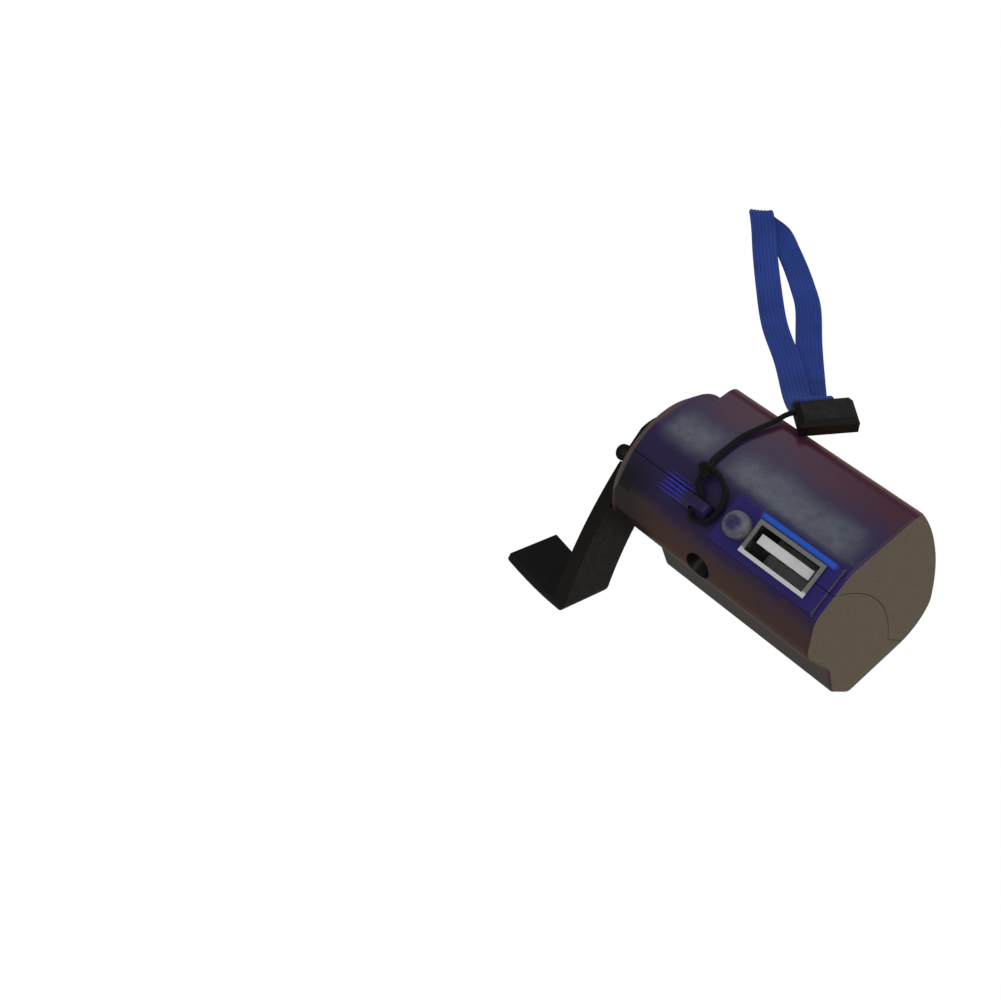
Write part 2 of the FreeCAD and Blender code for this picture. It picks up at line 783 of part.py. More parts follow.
def make_frame(core):
    """The two plates that carry the gears, shaped to the inside of the housing."""
    inside = grown("FrameOutline", core, -FIT)
    keep_out = notch_form("FrameKeepOut", WALL + FIT)
    stretch = COVER_END - FRAME_START
    space = cut("FrameSpace", inside, keep_out)
    floor = common("FramePlate", space, box("FrameBand", (FRAME_START, FRAME_START + size("plate")),
                                            (-40.0, 40.0), (-70.0, 5.0)))
    lid = common("CoverPlate", space, box("CoverBand", (COVER_START, COVER_END), (-40.0, 40.0), (-70.0, 5.0)))
    pillars = []
    pilots = []
    ways = []
    screws = []
    for i, (y, z) in enumerate(pillar_places()):
        pillars.append(pin("Pillar%d" % i, size("pillar_radius"), COVER_START - FRAME_START,
                           (FRAME_START, y, z), (1, 0, 0)))
        depth = size("small_screw_length") + 0.4
        spot = (COVER_END - depth, y, z)
        pilots.append(pin("Pilot%d" % i, size("small_screw_radius") + PRESS, depth, spot, (1, 0, 0)))
        ways.append(pin("Way%d" % i, size("small_screw_radius") + PRESS, stretch, (FRAME_START, y, z), (1, 0, 0)))
        screws.append(small_screw("FrameScrew%d" % i, (COVER_END, y, z), (-1, 0, 0)))
    shaft_way = pin("ShaftWay", size("shaft_radius") + FIT, LAYER_ONE, (0, AXLE_Y, AXLE_Z), (1, 0, 0))
    lay_way = pin("LayWay", size("layshaft_radius") + PRESS, LAYER_ONE, (0, AXLE_Y, LAY_Z), (1, 0, 0))
    frame = cut("GearFrame", fuse("FrameForm", [floor] + pillars),
                fuse("FrameHoles", pilots + [shaft_way, lay_way]))
    finish(frame, "gear_frame")
    bearing = pin("CoverBearing", size("shaft_end_radius") + RUN, 40.0, (0, AXLE_Y, AXLE_Z), (1, 0, 0))
    neck = pin("CoverNeck", size("generator_bush_radius") + FIT, 40.0, (0, AXLE_Y, LAY_Z), (1, 0, 0))
    for i, y in enumerate(generator_screw_rows()):
        ways.append(pin("CoverWay%d" % i, size("small_screw_radius") + PRESS, stretch,
                        (FRAME_START, y, LAY_Z), (1, 0, 0)))
    finish(cut("GearCover", lid, fuse("CoverHoles", ways + [bearing, neck])), "gear_cover")
    group("frame_screws", screws)


def generator_screw_rows():
    return [AXLE_Y - size("generator_screw_offset"), AXLE_Y + size("generator_screw_offset")]


def make_generator():
    """The generator: a drawn can with its cap, stator, magnet rotor, shaft, bushes and screws."""
    wide = size("can_radius")
    skin = size("can_wall")
    bush = size("generator_bush_radius")
    thin = size("rotor_shaft_radius")
    can = turned("GeneratorCan", [(COVER_END, bush + PRESS), (COVER_END, wide), (CAN_END, wide),
                                  (CAN_END, wide - skin), (COVER_END + skin, wide - skin),
                                  (COVER_END + skin, bush + PRESS)])
    moved(can, 0, AXLE_Y, LAY_Z)
    ways = [pin("CanWay%d" % i, size("small_screw_radius") + PRESS, 4.0, (COVER_END - 1.0, y, LAY_Z), (1, 0, 0))
            for i, y in enumerate(generator_screw_rows())]
    finish(cut("CanBored", can, fuse("CanWays", ways)), "generator_can")
    cap = turned("GeneratorCap", [(CAN_END - 1.0, bush + PRESS), (CAN_END - 1.0, wide - skin - PRESS),
                                  (CAN_END, wide - skin - PRESS), (CAN_END, wide),
                                  (CAP_END, wide), (CAP_END, bush + PRESS)])
    finish(cap, "generator_cap", 0, AXLE_Y, LAY_Z)
    core_start = COVER_END + 3.4
    core_end = core_start + size("rotor_length")
    stator = tube("Stator", size("stator_radius"), wide - skin - PRESS, core_start, core_end)
    finish(stator, "generator_stator", 0, AXLE_Y, LAY_Z)
    rotor = tube("Rotor", thin + PRESS, size("rotor_radius"), core_start, core_end)
    finish(rotor, "generator_rotor", 0, AXLE_Y, LAY_Z)
    shaft = rod("RotorShaft", thin, LAYER_THREE, CAP_END)
    finish(shaft, "generator_shaft", 0, AXLE_Y, LAY_Z)
    front = tube("FrontBush", thin + RUN, bush, COVER_END - 0.4, COVER_END + 2.0)
    rear = tube("RearBush", thin + RUN, bush, CAP_END - 2.4, CAP_END + 0.3)
    moved(front, 0, AXLE_Y, LAY_Z)
    moved(rear, 0, AXLE_Y, LAY_Z)
    group("generator_bushes", [front, rear])
    screws = [small_screw("GeneratorScrew%d" % i, (COVER_START, y, LAY_Z), (1, 0, 0))
              for i, y in enumerate(generator_screw_rows())]
    group("generator_screws", screws)


def make_board():
    """The circuit board with its screws, converter, capacitor, diodes and generator leads."""
    low = -size("board_bottom")
    board = box("Board", (size("board_start"), BOARD_END), (BOARD_FRONT, BOARD_REAR), (low, -size("board_top")))
    ways = []
    screws = []
    for i, (x, z) in enumerate(board_post_places()):
        ways.append(pin("BoardWay%d" % i, size("small_screw_radius") + PRESS, 4.0, (x, BOARD_FRONT - 1.0, z),
                        (0, 1, 0)))
        screws.append(small_screw("BoardScrew%d" % i, (x, BOARD_FRONT, z), (0, 1, 0)))
    finish(cut("CircuitBoard", board, fuse("BoardWays", ways)), "circuit_board")
    group("board_screws", screws)
    chip_x = size("board_start") + 3.4
    chip = box("Chip", (chip_x, chip_x + size("chip_length")), (BOARD_REAR, BOARD_REAR + size("chip_thick")),
               (-6.0 - size("chip_height"), -6.0))
    finish_block(chip, "converter_chip")
    wide = size("capacitor_radius")
    spot = (size("usb_place") - 1.0, BOARD_REAR + wide + PRESS, -8.0)
    can = pin("Capacitor", wide, size("capacitor_length"), spot, (1, 0, 0))
    finish_block(can, "capacitor")
    diodes = []
    leads = []
    reach = size("diode_radius")
    for i in range(2):
        place = (CAP_END + 1.9 + size("diode_pitch") * i, BOARD_REAR + reach, low + 0.6)
        diodes.append(pin("Diode%d" % i, reach, size("diode_length"), place, (0, 0, 1)))
    group("diodes", diodes)
    for i, y in enumerate((BOARD_FRONT - 0.4, BOARD_REAR + 0.4)):
        leads.append(pin("GeneratorLead%d" % i, 0.4, -LAY_Z - size("board_bottom") - 5.0,
                         (CAP_END + 0.4, y, LAY_Z + 6.0), (0, 0, 1)))
    group("generator_leads", leads)


def finish_block(thing, label):
    """Finishes a primitive that already has a place in the housing."""
    DOC.recompute()
    spot = thing.Placement
    thing.setExpression(".Placement.Base.x", None)
    thing.setExpression(".Placement.Base.y", None)
    thing.setExpression(".Placement.Base.z", None)
    thing.Label = label
    thing.Placement = STAND.multiply(spot)
    NODES.append(thing)
    return thing


def make_socket():
    """The USB socket: folded metal shell with a flared mouth, white tongue and contacts."""
    middle = size("usb_place")
    half = size("usb_thick") / 2
    metal = size("usb_metal")
    lip = size("usb_lip")
    body = box("SocketBody", (middle - USB_HALF, middle + USB_HALF), (-half, half), (USB_BOTTOM, USB_TOP))
    mouth = box("SocketLip", (middle - USB_HALF - lip, middle + USB_HALF + lip), (-half - lip, half + lip),
                (USB_TOP - metal, USB_TOP))
    inside = box("SocketInside", (middle - USB_HALF + metal, middle + USB_HALF - metal),
                 (-half + metal, half - metal), (USB_BOTTOM - 1.0, USB_TOP + 1.0))
    finish(cut("UsbShell", fuse("SocketForm", [body, mouth]), inside), "usb_shell")
    base_top = USB_BOTTOM + size("tongue_base")
    base = box("TongueBase", (middle - USB_HALF + metal + PRESS, middle + USB_HALF - metal - PRESS),
               (-half + metal + PRESS, half - metal - PRESS), (USB_BOTTOM, base_top))
    wide = size("tongue_width") / 2
    front = size("tongue_offset") - size("tongue_thick") / 2
    rear = front + size("tongue_thick")
    top = USB_TOP - 1.2
    plate = box("TonguePlate", (middle - wide, middle + wide), (front, rear), (base_top - 0.5, top))
    finish(fuse("UsbTongue", [base, plate]), "usb_tongue")
    contacts = []
    inner = size("contact_inner_pitch") / 2
    outer = inner + size("contact_outer_pitch")
    for i, offset in enumerate((-outer, -inner, inner, outer)):
        x = middle + offset
        contacts.append(box("Contact%d" % i, (x - size("contact_width") / 2, x + size("contact_width") / 2),
                            (front - size("contact_thick"), front), (top - 1.0 - size("contact_length"), top - 1.0)))
    group("usb_contacts", contacts)


def make_lamp():
    """The clear lamp with its rim and two bent leads."""
    wide = size("led_radius")
    rim_top = CROWN - WALL - FIT
    rim_low = rim_top - size("led_flange")
    top = CROWN + size("led_height")
    shoulder = top - wide
    place = size("led_place")
    rim = pin("LampRim", size("led_flange_radius"), size("led_flange"), (place, 0, rim_low), (0, 0, 1))
    stem = pin("LampStem", wide, shoulder - rim_low, (place, 0, rim_low), (0, 0, 1))
    dome = DOC.addObject("Part::Sphere", "LampDome")
    bind(dome, "Radius", wide)
    dome.Angle1 = 0.0
    moved(dome, place, 0, shoulder)
    finish(fuse("LedLens", [rim, stem, dome]), "led_lens")
    leads = []
    half = size("lead_thick") / 2
    for i, side in enumerate((-1, 1)):
        x = size("led_place") + size("lead_pitch") / 2 * side
        low = rim_low - 4.2
        drop = box("LeadDrop%d" % i, (x - half, x + half), (-half, half), (low, rim_low))
        bend = box("LeadBend%d" % i, (x - half, x + half), (-half, BOARD_FRONT), (low, low + half * 2))
        leads.append(fuse("Lead%d" % i, [drop, bend]))
    group("led_leads", leads)


CRANK_TURN = FreeCAD.Rotation(FreeCAD.Vector(1, 0, 0), -size("crank_rest"))


def finish_crank(thing, label):
    """Places a piece modelled with the axle at the origin and the arm running down."""
    return finish(thing, label, 0, AXLE_Y, AXLE_Z, CRANK_TURN)


def make_crank_shaft():
    step = size("shaft_step_radius")
    wide = size("shaft_radius")
    thin = size("shaft_end_radius")
    hole = size("crank_screw_radius") + PRESS
    outer = HUB_OUT + 1.2
    depth = HUB_OUT + size("crank_screw_length") + 0.3
    profile = [(outer, hole), (outer, step), (HUB_IN, step), (HUB_IN, wide), (LAYER_ONE - 0.1, wide),
               (LAYER_ONE - 0.1, step), (LAYER_ONE + FACE + 0.1, step), (LAYER_ONE + FACE + 0.1, thin),
               (COVER_END, thin), (COVER_END, 0.0), (depth, 0.0), (depth, hole)]
    finish(turned("CrankShaft", profile), "crank_shaft", 0, AXLE_Y, AXLE_Z)
    head = size("crank_screw_head_radius")
    stem = size("crank_screw_radius")
    profile = [(HUB_OUT, 0.0), (HUB_OUT, head), (HUB_OUT + 1.0, stem),
               (HUB_OUT + size("crank_screw_length"), stem), (HUB_OUT + size("crank_screw_length"), 0.0)]
    finish(turned("CrankScrew", profile), "crank_screw", 0, AXLE_Y, AXLE_Z)
    inner = wide + RUN
    outside = wide + size("bush_wall")
    profile = [(-size("bush_lip"), inner), (-size("bush_lip"), outside + size("bush_flange")),
               (0.0, outside + size("bush_flange")), (0.0, outside), (INNER_START, outside), (INNER_START, inner)]
    finish(turned("CrankBush", profile), "crank_bush", 0, AXLE_Y, AXLE_Z)


def hinge_bar(name, radius, low, high):
    """A round bar about the hinge's axis between two distances across the arm."""
    return pin(name, radius, high - low, (HINGE_X, low, -HINGE_S), (0, 1, 0))


def make_hub():
    """The hub that clamps on the shaft and ends in two ears for the arm's hinge."""
    half = size("crank_width") / 2
    ear = half - size("ear_width")
    top = size("hub_top")
    end = -HINGE_S + size("arm_gap") / 2
    corners = [(-half, top), (half, top), (half, end), (-half, end)]
    plate = slab("HubPlate", "YZ_Plane", corners, HUB_OUT, HUB_IN - HUB_OUT, {0: half * 1.1})
    room = hinge_bar("KnuckleRoom", size("knuckle_radius") + size("knuckle_gap"), -ear, ear)
    forms = [cut("HubLeaf", plate, room), hinge_bar("EarFront", size("ear_radius"), -half, -ear),
             hinge_bar("EarRear", size("ear_radius"), ear, half)]
    bore = pin("HubBore", size("shaft_step_radius") + PRESS, 5.0, (HUB_OUT + 1.15, 0, 0), (1, 0, 0))
    head = size("crank_screw_head_radius") + PRESS
    stem = size("crank_screw_radius") + PRESS
    sink = turned("HubSink", [(HUB_OUT - 1.0, 0.0), (HUB_OUT - 1.0, head), (HUB_OUT, head),
                              (HUB_OUT + 1.0, stem), (HUB_OUT + 3.0, stem), (HUB_OUT + 3.0, 0.0)])
    eye = pin("EarEye", size("pin_radius") + PRESS, 40.0, (HINGE_X, -20.0, -HINGE_S), (0, 1, 0))
    finish_crank(cut("CrankHub", fuse("HubForm", forms), fuse("HubHoles", [bore, sink, eye])), "crank_hub")
    rivet = pin("HingePin", size("pin_radius"), size("crank_width") - 0.2, (HINGE_X, -half + 0.1, -HINGE_S), (0, 1, 0))
    spot = rivet.Placement
    finish(rivet, "hinge_pin")
    rivet.Placement = STAND.multiply(FreeCAD.Placement(FreeCAD.Vector(0, AXLE_Y, AXLE_Z), CRANK_TURN)).multiply(spot)


def arm_band():
    """The flat arm between its hinge and its foot, curved in the plane that it turns in."""
    half = size("crank_width") / 2
    radius = size("arm_radius")
    turn = FreeCAD.Rotation(FreeCAD.Vector(0, -1, 0), FreeCAD.Vector(0, 0, -1), FreeCAD.Vector(1, 0, 0), "ZXY")
    wide = DOC.addObject("Part::Cylinder", "ArmOuter")
    bind(wide, "Radius", radius + half)
    bind(wide, "Height", HUB_IN - HUB_OUT)
    bind(wide, "Angle", size("arm_sweep"))
    wide.Placement = FreeCAD.Placement(FreeCAD.Vector(HUB_OUT, radius, 0), turn)
    narrow = DOC.addObject("Part::Cylinder", "ArmInner")
    bind(narrow, "Radius", radius - half)
    bind(narrow, "Height", HUB_IN - HUB_OUT + 2.0)
    narrow.Placement = FreeCAD.Placement(FreeCAD.Vector(HUB_OUT - 1.0, radius, 0), turn)
    end = -HINGE_S - size("arm_gap") / 2
    below = box("ArmStretch", (-10.0, 5.0), (-20.0, 60.0), (-60.0, end))
    return common("ArmBand", cut("ArmSector", wide, narrow), below)


def arm_foot():
    """The end of the arm, which bends outward into the foot that the hand turns."""
    half = size("crank_width") / 2
    tail = size("arm_tail")
    thick = size("foot_thick")
    slope = math.radians(size("foot_tilt"))
    along, lift = math.cos(slope), math.sin(slope)
    tip = (HUB_IN - size("foot_length") * along, size("foot_length") * lift - tail)
    crease = ((HUB_IN - HUB_OUT) + thick * lift) * (lift / along) + thick * along - tail
    over = (tip[0] + thick * lift, tip[1] + thick * along)
    side = [(HUB_IN, 0.0), (HUB_IN, -tail), tip, over, (HUB_OUT, crease), (HUB_OUT, 0.0)]
    form = slab("FootSide", "XZ_Plane", side, 0.0, half * 2, None, True)
    round_edges(form, form.Tip, [(float(HUB_IN), 0.0, -float(tail))], size("arm_bend"))
    round_edges(form, form.Tip, [(float(HUB_OUT), 0.0, float(crease))], size("arm_inner_bend"))
    round_edges(form, form.Tip, [(float(a), 0.0, float(b)) for a, b in (tip, over)], size("foot_round"))
    low = -tail - 0.01
    plan = [(-half, 4.0), (half, 4.0), (half, low), (-half, low)]
    face = slab("FootPlan", "YZ_Plane", plan, tip[0] - 1.0, HUB_IN - tip[0] + 2.0)
    middle = float(tip[0] + HUB_IN) / 2
    round_edges(face, face.Tip, [(middle, float(half), float(low)), (middle, -float(half), float(low))],
                size("arm_corner"))
    foot = common("ArmFoot", form, face)
    sweep = math.radians(size("arm_sweep"))
    radius = float(size("arm_radius"))
    spot = FreeCAD.Vector(0, radius * (1 - math.cos(sweep)), -radius * math.sin(sweep))
    foot.Placement = FreeCAD.Placement(spot, FreeCAD.Rotation(FreeCAD.Vector(1, 0, 0), size("arm_sweep")))
    return foot


def make_arm():
    """The curved arm with its turned-out foot, and the knuckle that swings on the hinge pin."""
    half = size("crank_width") / 2
    ear = half - size("ear_width") - size("knuckle_gap")
    reach = size("ear_radius") + size("knuckle_gap")
    knuckle = hinge_bar("Knuckle", size("knuckle_radius"), -ear, ear)
    rooms = [hinge_bar("EarRoomFront", reach, -half - 1.0, -ear), hinge_bar("EarRoomRear", reach, ear, half + 1.0),
             hinge_bar("KnuckleEye", size("pin_radius") + RUN, Dim.of(-20.0), Dim.of(20.0))]
    form = fuse("ArmForm", [arm_band(), arm_foot(), knuckle])
    finish_crank(cut("CrankArm", form, fuse("ArmRooms", rooms)), "crank_arm")


def rounded_route(name, points):
    """A wire of straight runs joined by tangent arcs; the arcs' radii are printed."""
    edges = []
    radii = []
    begin = points[0]
    for i in range(1, len(points) - 1):
        back = points[i - 1] - points[i]
        ahead = points[i + 1] - points[i]
        turn = math.pi - back.getAngle(ahead)
        trim = 0.45 * min(back.Length, ahead.Length)
        radius = trim / math.tan(turn / 2)
        radii.append(round(radius, 1))
        back.normalize()
        ahead.normalize()
        first = points[i] + back * trim
        last = points[i] + ahead * trim
        inward = back + ahead
        inward.normalize()
        middle = points[i] + inward * (radius / math.cos(turn / 2) - radius)
        edges.append(Part.LineSegment(begin, first).toShape())
        edges.append(Part.Arc(first, middle, last).toShape())
        begin = last
    edges.append(Part.LineSegment(begin, points[-1]).toShape())
    wire = Part.Wire(edges)
    print("%s: length %.1f, radii %s" % (name, wire.Length, radii))
    return wire


def swept(name, wire, section, area):
    """The solid of a section carried along a route, with its volume checked."""
    solid = wire.makePipeShell([section], True, False)
    print("%s: volume %.2f, section times length %.2f" % (name, solid.Volume, area * wire.Length))
    return solid


def clasp_place():
    """The clasp's frame on the rear edge of the roof: X along the bar, Y to the ribbon."""
    edge = FreeCAD.Vector(LENGTH / 2, size("shoulder_rear"), -size("shoulder_rear_drop"))
    shift = FreeCAD.Vector(-1.0, 4.56, 1.56)
    turn = FreeCAD.Rotation(FreeCAD.Vector(0, 0, 1), size("clasp_turn"))
    return FreeCAD.Placement(STAND.multVec(edge) + shift, turn)


def make_clasp():
    """The bevelled bar that joins the cord to the ribbon."""
    half = size("clasp_length") / 2
    wide = size("clasp_width") / 2
    thick = size("clasp_thick") / 2
    trim = size("clasp_chamfer")
    side = [(-wide, -thick), (wide, -thick), (wide, thick), (-wide + trim, thick), (-wide, thick - trim)]
    bar = slab("ClaspBar", "YZ_Plane", side, -half, half * 2)
    top = [(-half, -thick), (half, -thick), (half, thick - trim), (half - trim, thick),
           (-half + trim, thick), (-half, thick - trim)]
    ends = slab("ClaspEnds", "XZ_Plane", top, -wide, wide * 2)
    clasp = common("StrapClasp", bar, ends)
    clasp.Label = "strap_clasp"
    clasp.Placement = clasp_place()
    NODES.append(clasp)


def make_cord():
    """The lanyard cord: through the lug's eye, round its end to a knot, and over the roof."""
    thin = float(size("cord_diameter")) / 2
    eye = FreeCAD.Vector(size("lug_start") + size("lug_hole_place"), 0, CROWN + size("lug_hole_lift"))
    loop = [(-2.3, 3.8, 0.1), (-2.6, 1.9, 0.0), (0.0, 0.9, 0.0), (0.0, -3.3, 0.0), (0.6, -4.3, 0.0),
            (2.6, -4.2, -0.1), (3.9, -2.2, -0.4), (4.0, 0.6, -0.5), (3.1, 3.2, -0.5), (1.0, 4.9, -0.3),
            (-1.6, 5.4, -0.2)]
    roof = [(-8.4, -17.7, 49.1), (-8.6, -14.2, 48.8), (-8.7, -12.1, 48.7), (-8.6, -8.5, 48.7),
            (-7.8, -5.6, 48.7), (-6.9, -2.3, 48.8)]
    points = [STAND.multVec(eye + FreeCAD.Vector(*step)) for step in loop]
    points += [FreeCAD.Vector(*spot) for spot in roof]
    end = -size("clasp_length") / 2
    points += [clasp_place().multVec(FreeCAD.Vector(end - step, 1.6, 0)) for step in (1.2, 0.0)]
    wire = rounded_route("lanyard_cord", points)
    section = Part.Wire(Part.Circle(points[0], points[1] - points[0], thin).toShape())
    add_shape("lanyard_cord", swept("lanyard_cord", wire, section, math.pi * thin * thin))
    add_shape("cord_knot", Part.makeSphere(float(size("knot_radius")), points[0]))


def make_ribbon():
    """The wrist ribbon: one flat loop that leaves the clasp, folds at its far end and returns."""
    wide = float(size("ribbon_width"))
    thick = float(size("ribbon_thick"))
    place = clasp_place()
    face = size("clasp_width") / 2
    upper = [place.multVec(FreeCAD.Vector(-0.9, face + step, 0.25)) for step in (0.0, 1.2)]
    lower = [place.multVec(FreeCAD.Vector(0.9, face + step, -0.95)) for step in (1.1, 0.0)]
    low = thick / 2 + 0.12
    run = [(-8.0, 9.5, 44.5), (-12.5, 16.0, 35.5), (-17.5, 23.5, 25.0), (-21.5, 29.0, 17.5),
           (-27.4, 34.9, 12.8), (-38.1, 45.2, 9.0), (-50.0, 55.0, 6.2), (-60.7, 65.6, 4.5),
           (-71.2, 76.5, 3.5), (-77.4, 83.2, 3.2), (-82.7, 88.7, 3.1), (-82.7, 88.7, low),
           (-75.3, 87.2, 0.75), (-68.6, 82.8, 1.3), (-62.2, 78.2, 1.8), (-56.2, 73.4, 2.4),
           (-50.6, 68.4, 3.1), (-41.0, 56.8, 5.0), (-31.2, 45.2, 8.0), (-25.6, 38.5, 10.4),
           (-20.6, 31.8, 14.6), (-15.6, 24.6, 22.5), (-10.8, 17.6, 32.0), (-6.6, 11.4, 41.2)]
    points = upper + [FreeCAD.Vector(*spot) for spot in run] + lower
    wire = rounded_route("strap_ribbon", points)
    across = place.Rotation.multVec(FreeCAD.Vector(1, 0, 0))
    crease = FreeCAD.Vector(0.48, 0.877, 0)
    sections = []
    for spot, way in stations(wire):
        level = FreeCAD.Vector(-way.y, way.x, 0)
        if level.Length < 0.5:
            across = crease
        else:
            level.normalize()
            across = level if level.dot(across) > 0 else -level
        over = way.cross(across)
        over.normalize()
        side = across * (wide / 2)
        rise = over * (thick / 2)
        corners = [spot - side - rise, spot + side - rise, spot + side + rise, spot - side + rise]
        sections.append(Part.makePolygon(corners + corners[:1]))
    solid = Part.makeLoft(sections, True, True)
    print("strap_ribbon: volume %.1f, section times length %.1f" % (solid.Volume, wide * thick * wire.Length))
    add_shape("strap_ribbon", solid)


def stations(wire):
    """Places along a route with its direction there: the ends of runs and points on the arcs."""
    found = []
    for edge in wire.OrderedEdges:
        low, high = edge.ParameterRange
        parts = 3 if isinstance(edge.Curve, Part.Circle) else 1
        if isinstance(edge.Curve, Part.Circle) and edge.Curve.Radius < 5.0:
            parts = 5
        for i in range(parts):
            at = low + (high - low) * i / parts
            way = edge.tangentAt(at)
            way.normalize()
            found.append((edge.valueAt(at), way))
    way = edge.tangentAt(high)
    way.normalize()
    found.append((edge.valueAt(high), way))
    return found


def add_shape(label, shape):
    """Keeps a finished shape that already lies in its place as a node."""
    made = DOC.addObject("Part::Feature", label.title().replace("_", ""))
    made.Shape = shape
    made.Label = label
    NODES.append(made)


def main():
    core = make_shells()
    make_housing_screw()
    make_frame(core)
    make_gears()
    make_generator()
    make_socket()
    make_board()
    make_lamp()
    make_crank_shaft()
    make_hub()
    make_arm()
    make_clasp()
    make_cord()
    make_ribbon()
    DOC.recompute()
    check_and_export()


def check_and_export():
    """Stops on any feature that failed, and writes one file for each node."""
    for thing in DOC.Objects:
        if "Invalid" in thing.State or "Error" in thing.State:
            raise RuntimeError("feature failed: " + thing.Label)
    os.makedirs("parts", exist_ok=True)
    for thing in NODES:
        if thing.Shape.isNull() or not thing.Shape.isValid():
            raise RuntimeError("shape is not valid: " + thing.Label)
        thing.Shape.exportStep("parts/%s.step" % thing.Label)


main()
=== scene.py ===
"""Looks of the hand crank phone charger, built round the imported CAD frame.

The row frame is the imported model's own, in metres. The housing frame is in millimetres: x runs
from the crank end to the plain end, y from front to rear, and z up from the crown. It leans forward
in the row frame by LEAN, because the charger stands on a slanted underside. The clasp's frame is in
millimetres too, and CLASP_TURN turns it about the vertical.
"""
import json
import math

import bmesh
import bpy
from mathutils import Matrix, Vector

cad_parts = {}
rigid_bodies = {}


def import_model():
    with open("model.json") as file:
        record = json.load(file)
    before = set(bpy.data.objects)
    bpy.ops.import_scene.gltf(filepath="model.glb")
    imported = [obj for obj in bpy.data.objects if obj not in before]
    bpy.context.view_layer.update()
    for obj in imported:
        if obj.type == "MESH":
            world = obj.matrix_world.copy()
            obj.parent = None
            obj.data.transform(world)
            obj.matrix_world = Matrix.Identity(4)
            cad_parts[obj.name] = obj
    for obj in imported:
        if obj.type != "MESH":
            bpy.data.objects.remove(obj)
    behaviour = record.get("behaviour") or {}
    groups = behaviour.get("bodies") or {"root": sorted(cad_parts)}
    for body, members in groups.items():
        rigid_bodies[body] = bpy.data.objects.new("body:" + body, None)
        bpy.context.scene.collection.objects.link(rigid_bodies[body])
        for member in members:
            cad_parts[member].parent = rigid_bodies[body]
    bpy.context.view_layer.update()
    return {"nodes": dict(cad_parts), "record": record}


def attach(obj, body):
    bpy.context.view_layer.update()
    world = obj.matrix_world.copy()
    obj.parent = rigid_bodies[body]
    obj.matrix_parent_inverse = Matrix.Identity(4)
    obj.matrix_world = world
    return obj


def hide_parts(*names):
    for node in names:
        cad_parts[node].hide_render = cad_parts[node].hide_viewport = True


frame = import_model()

MM = 1000
LEAN = math.radians(33.208332)
LEAN_TURN = Matrix.Rotation(LEAN, 3, "X")
SHIFT = Vector((-0.0235, -0.0227525, 0.0455078))


def housing(x, y, z):
    """A point of the housing frame, in millimetres, as a place in the row frame in metres."""
    return LEAN_TURN @ Vector((x / MM, y / MM, z / MM)) + SHIFT


def srgb(r, g, b):
    """A colour written as on a screen, 0 to 255."""
    def line(c):
        c /= 255.0
        return c / 12.92 if c <= 0.04045 else ((c + 0.055) / 1.055) ** 2.4
    return (line(r), line(g), line(b), 1.0)


def place_object(name, data):
    made = bpy.data.objects.new(name, data)
    bpy.context.collection.objects.link(made)
    return made


# ---------------------------------------------------------------- materials

NOISE_CORE = (0.3, 0.7)  # nearly all values of a noise texture lie between these two
PLASTIC_IOR = 1.5


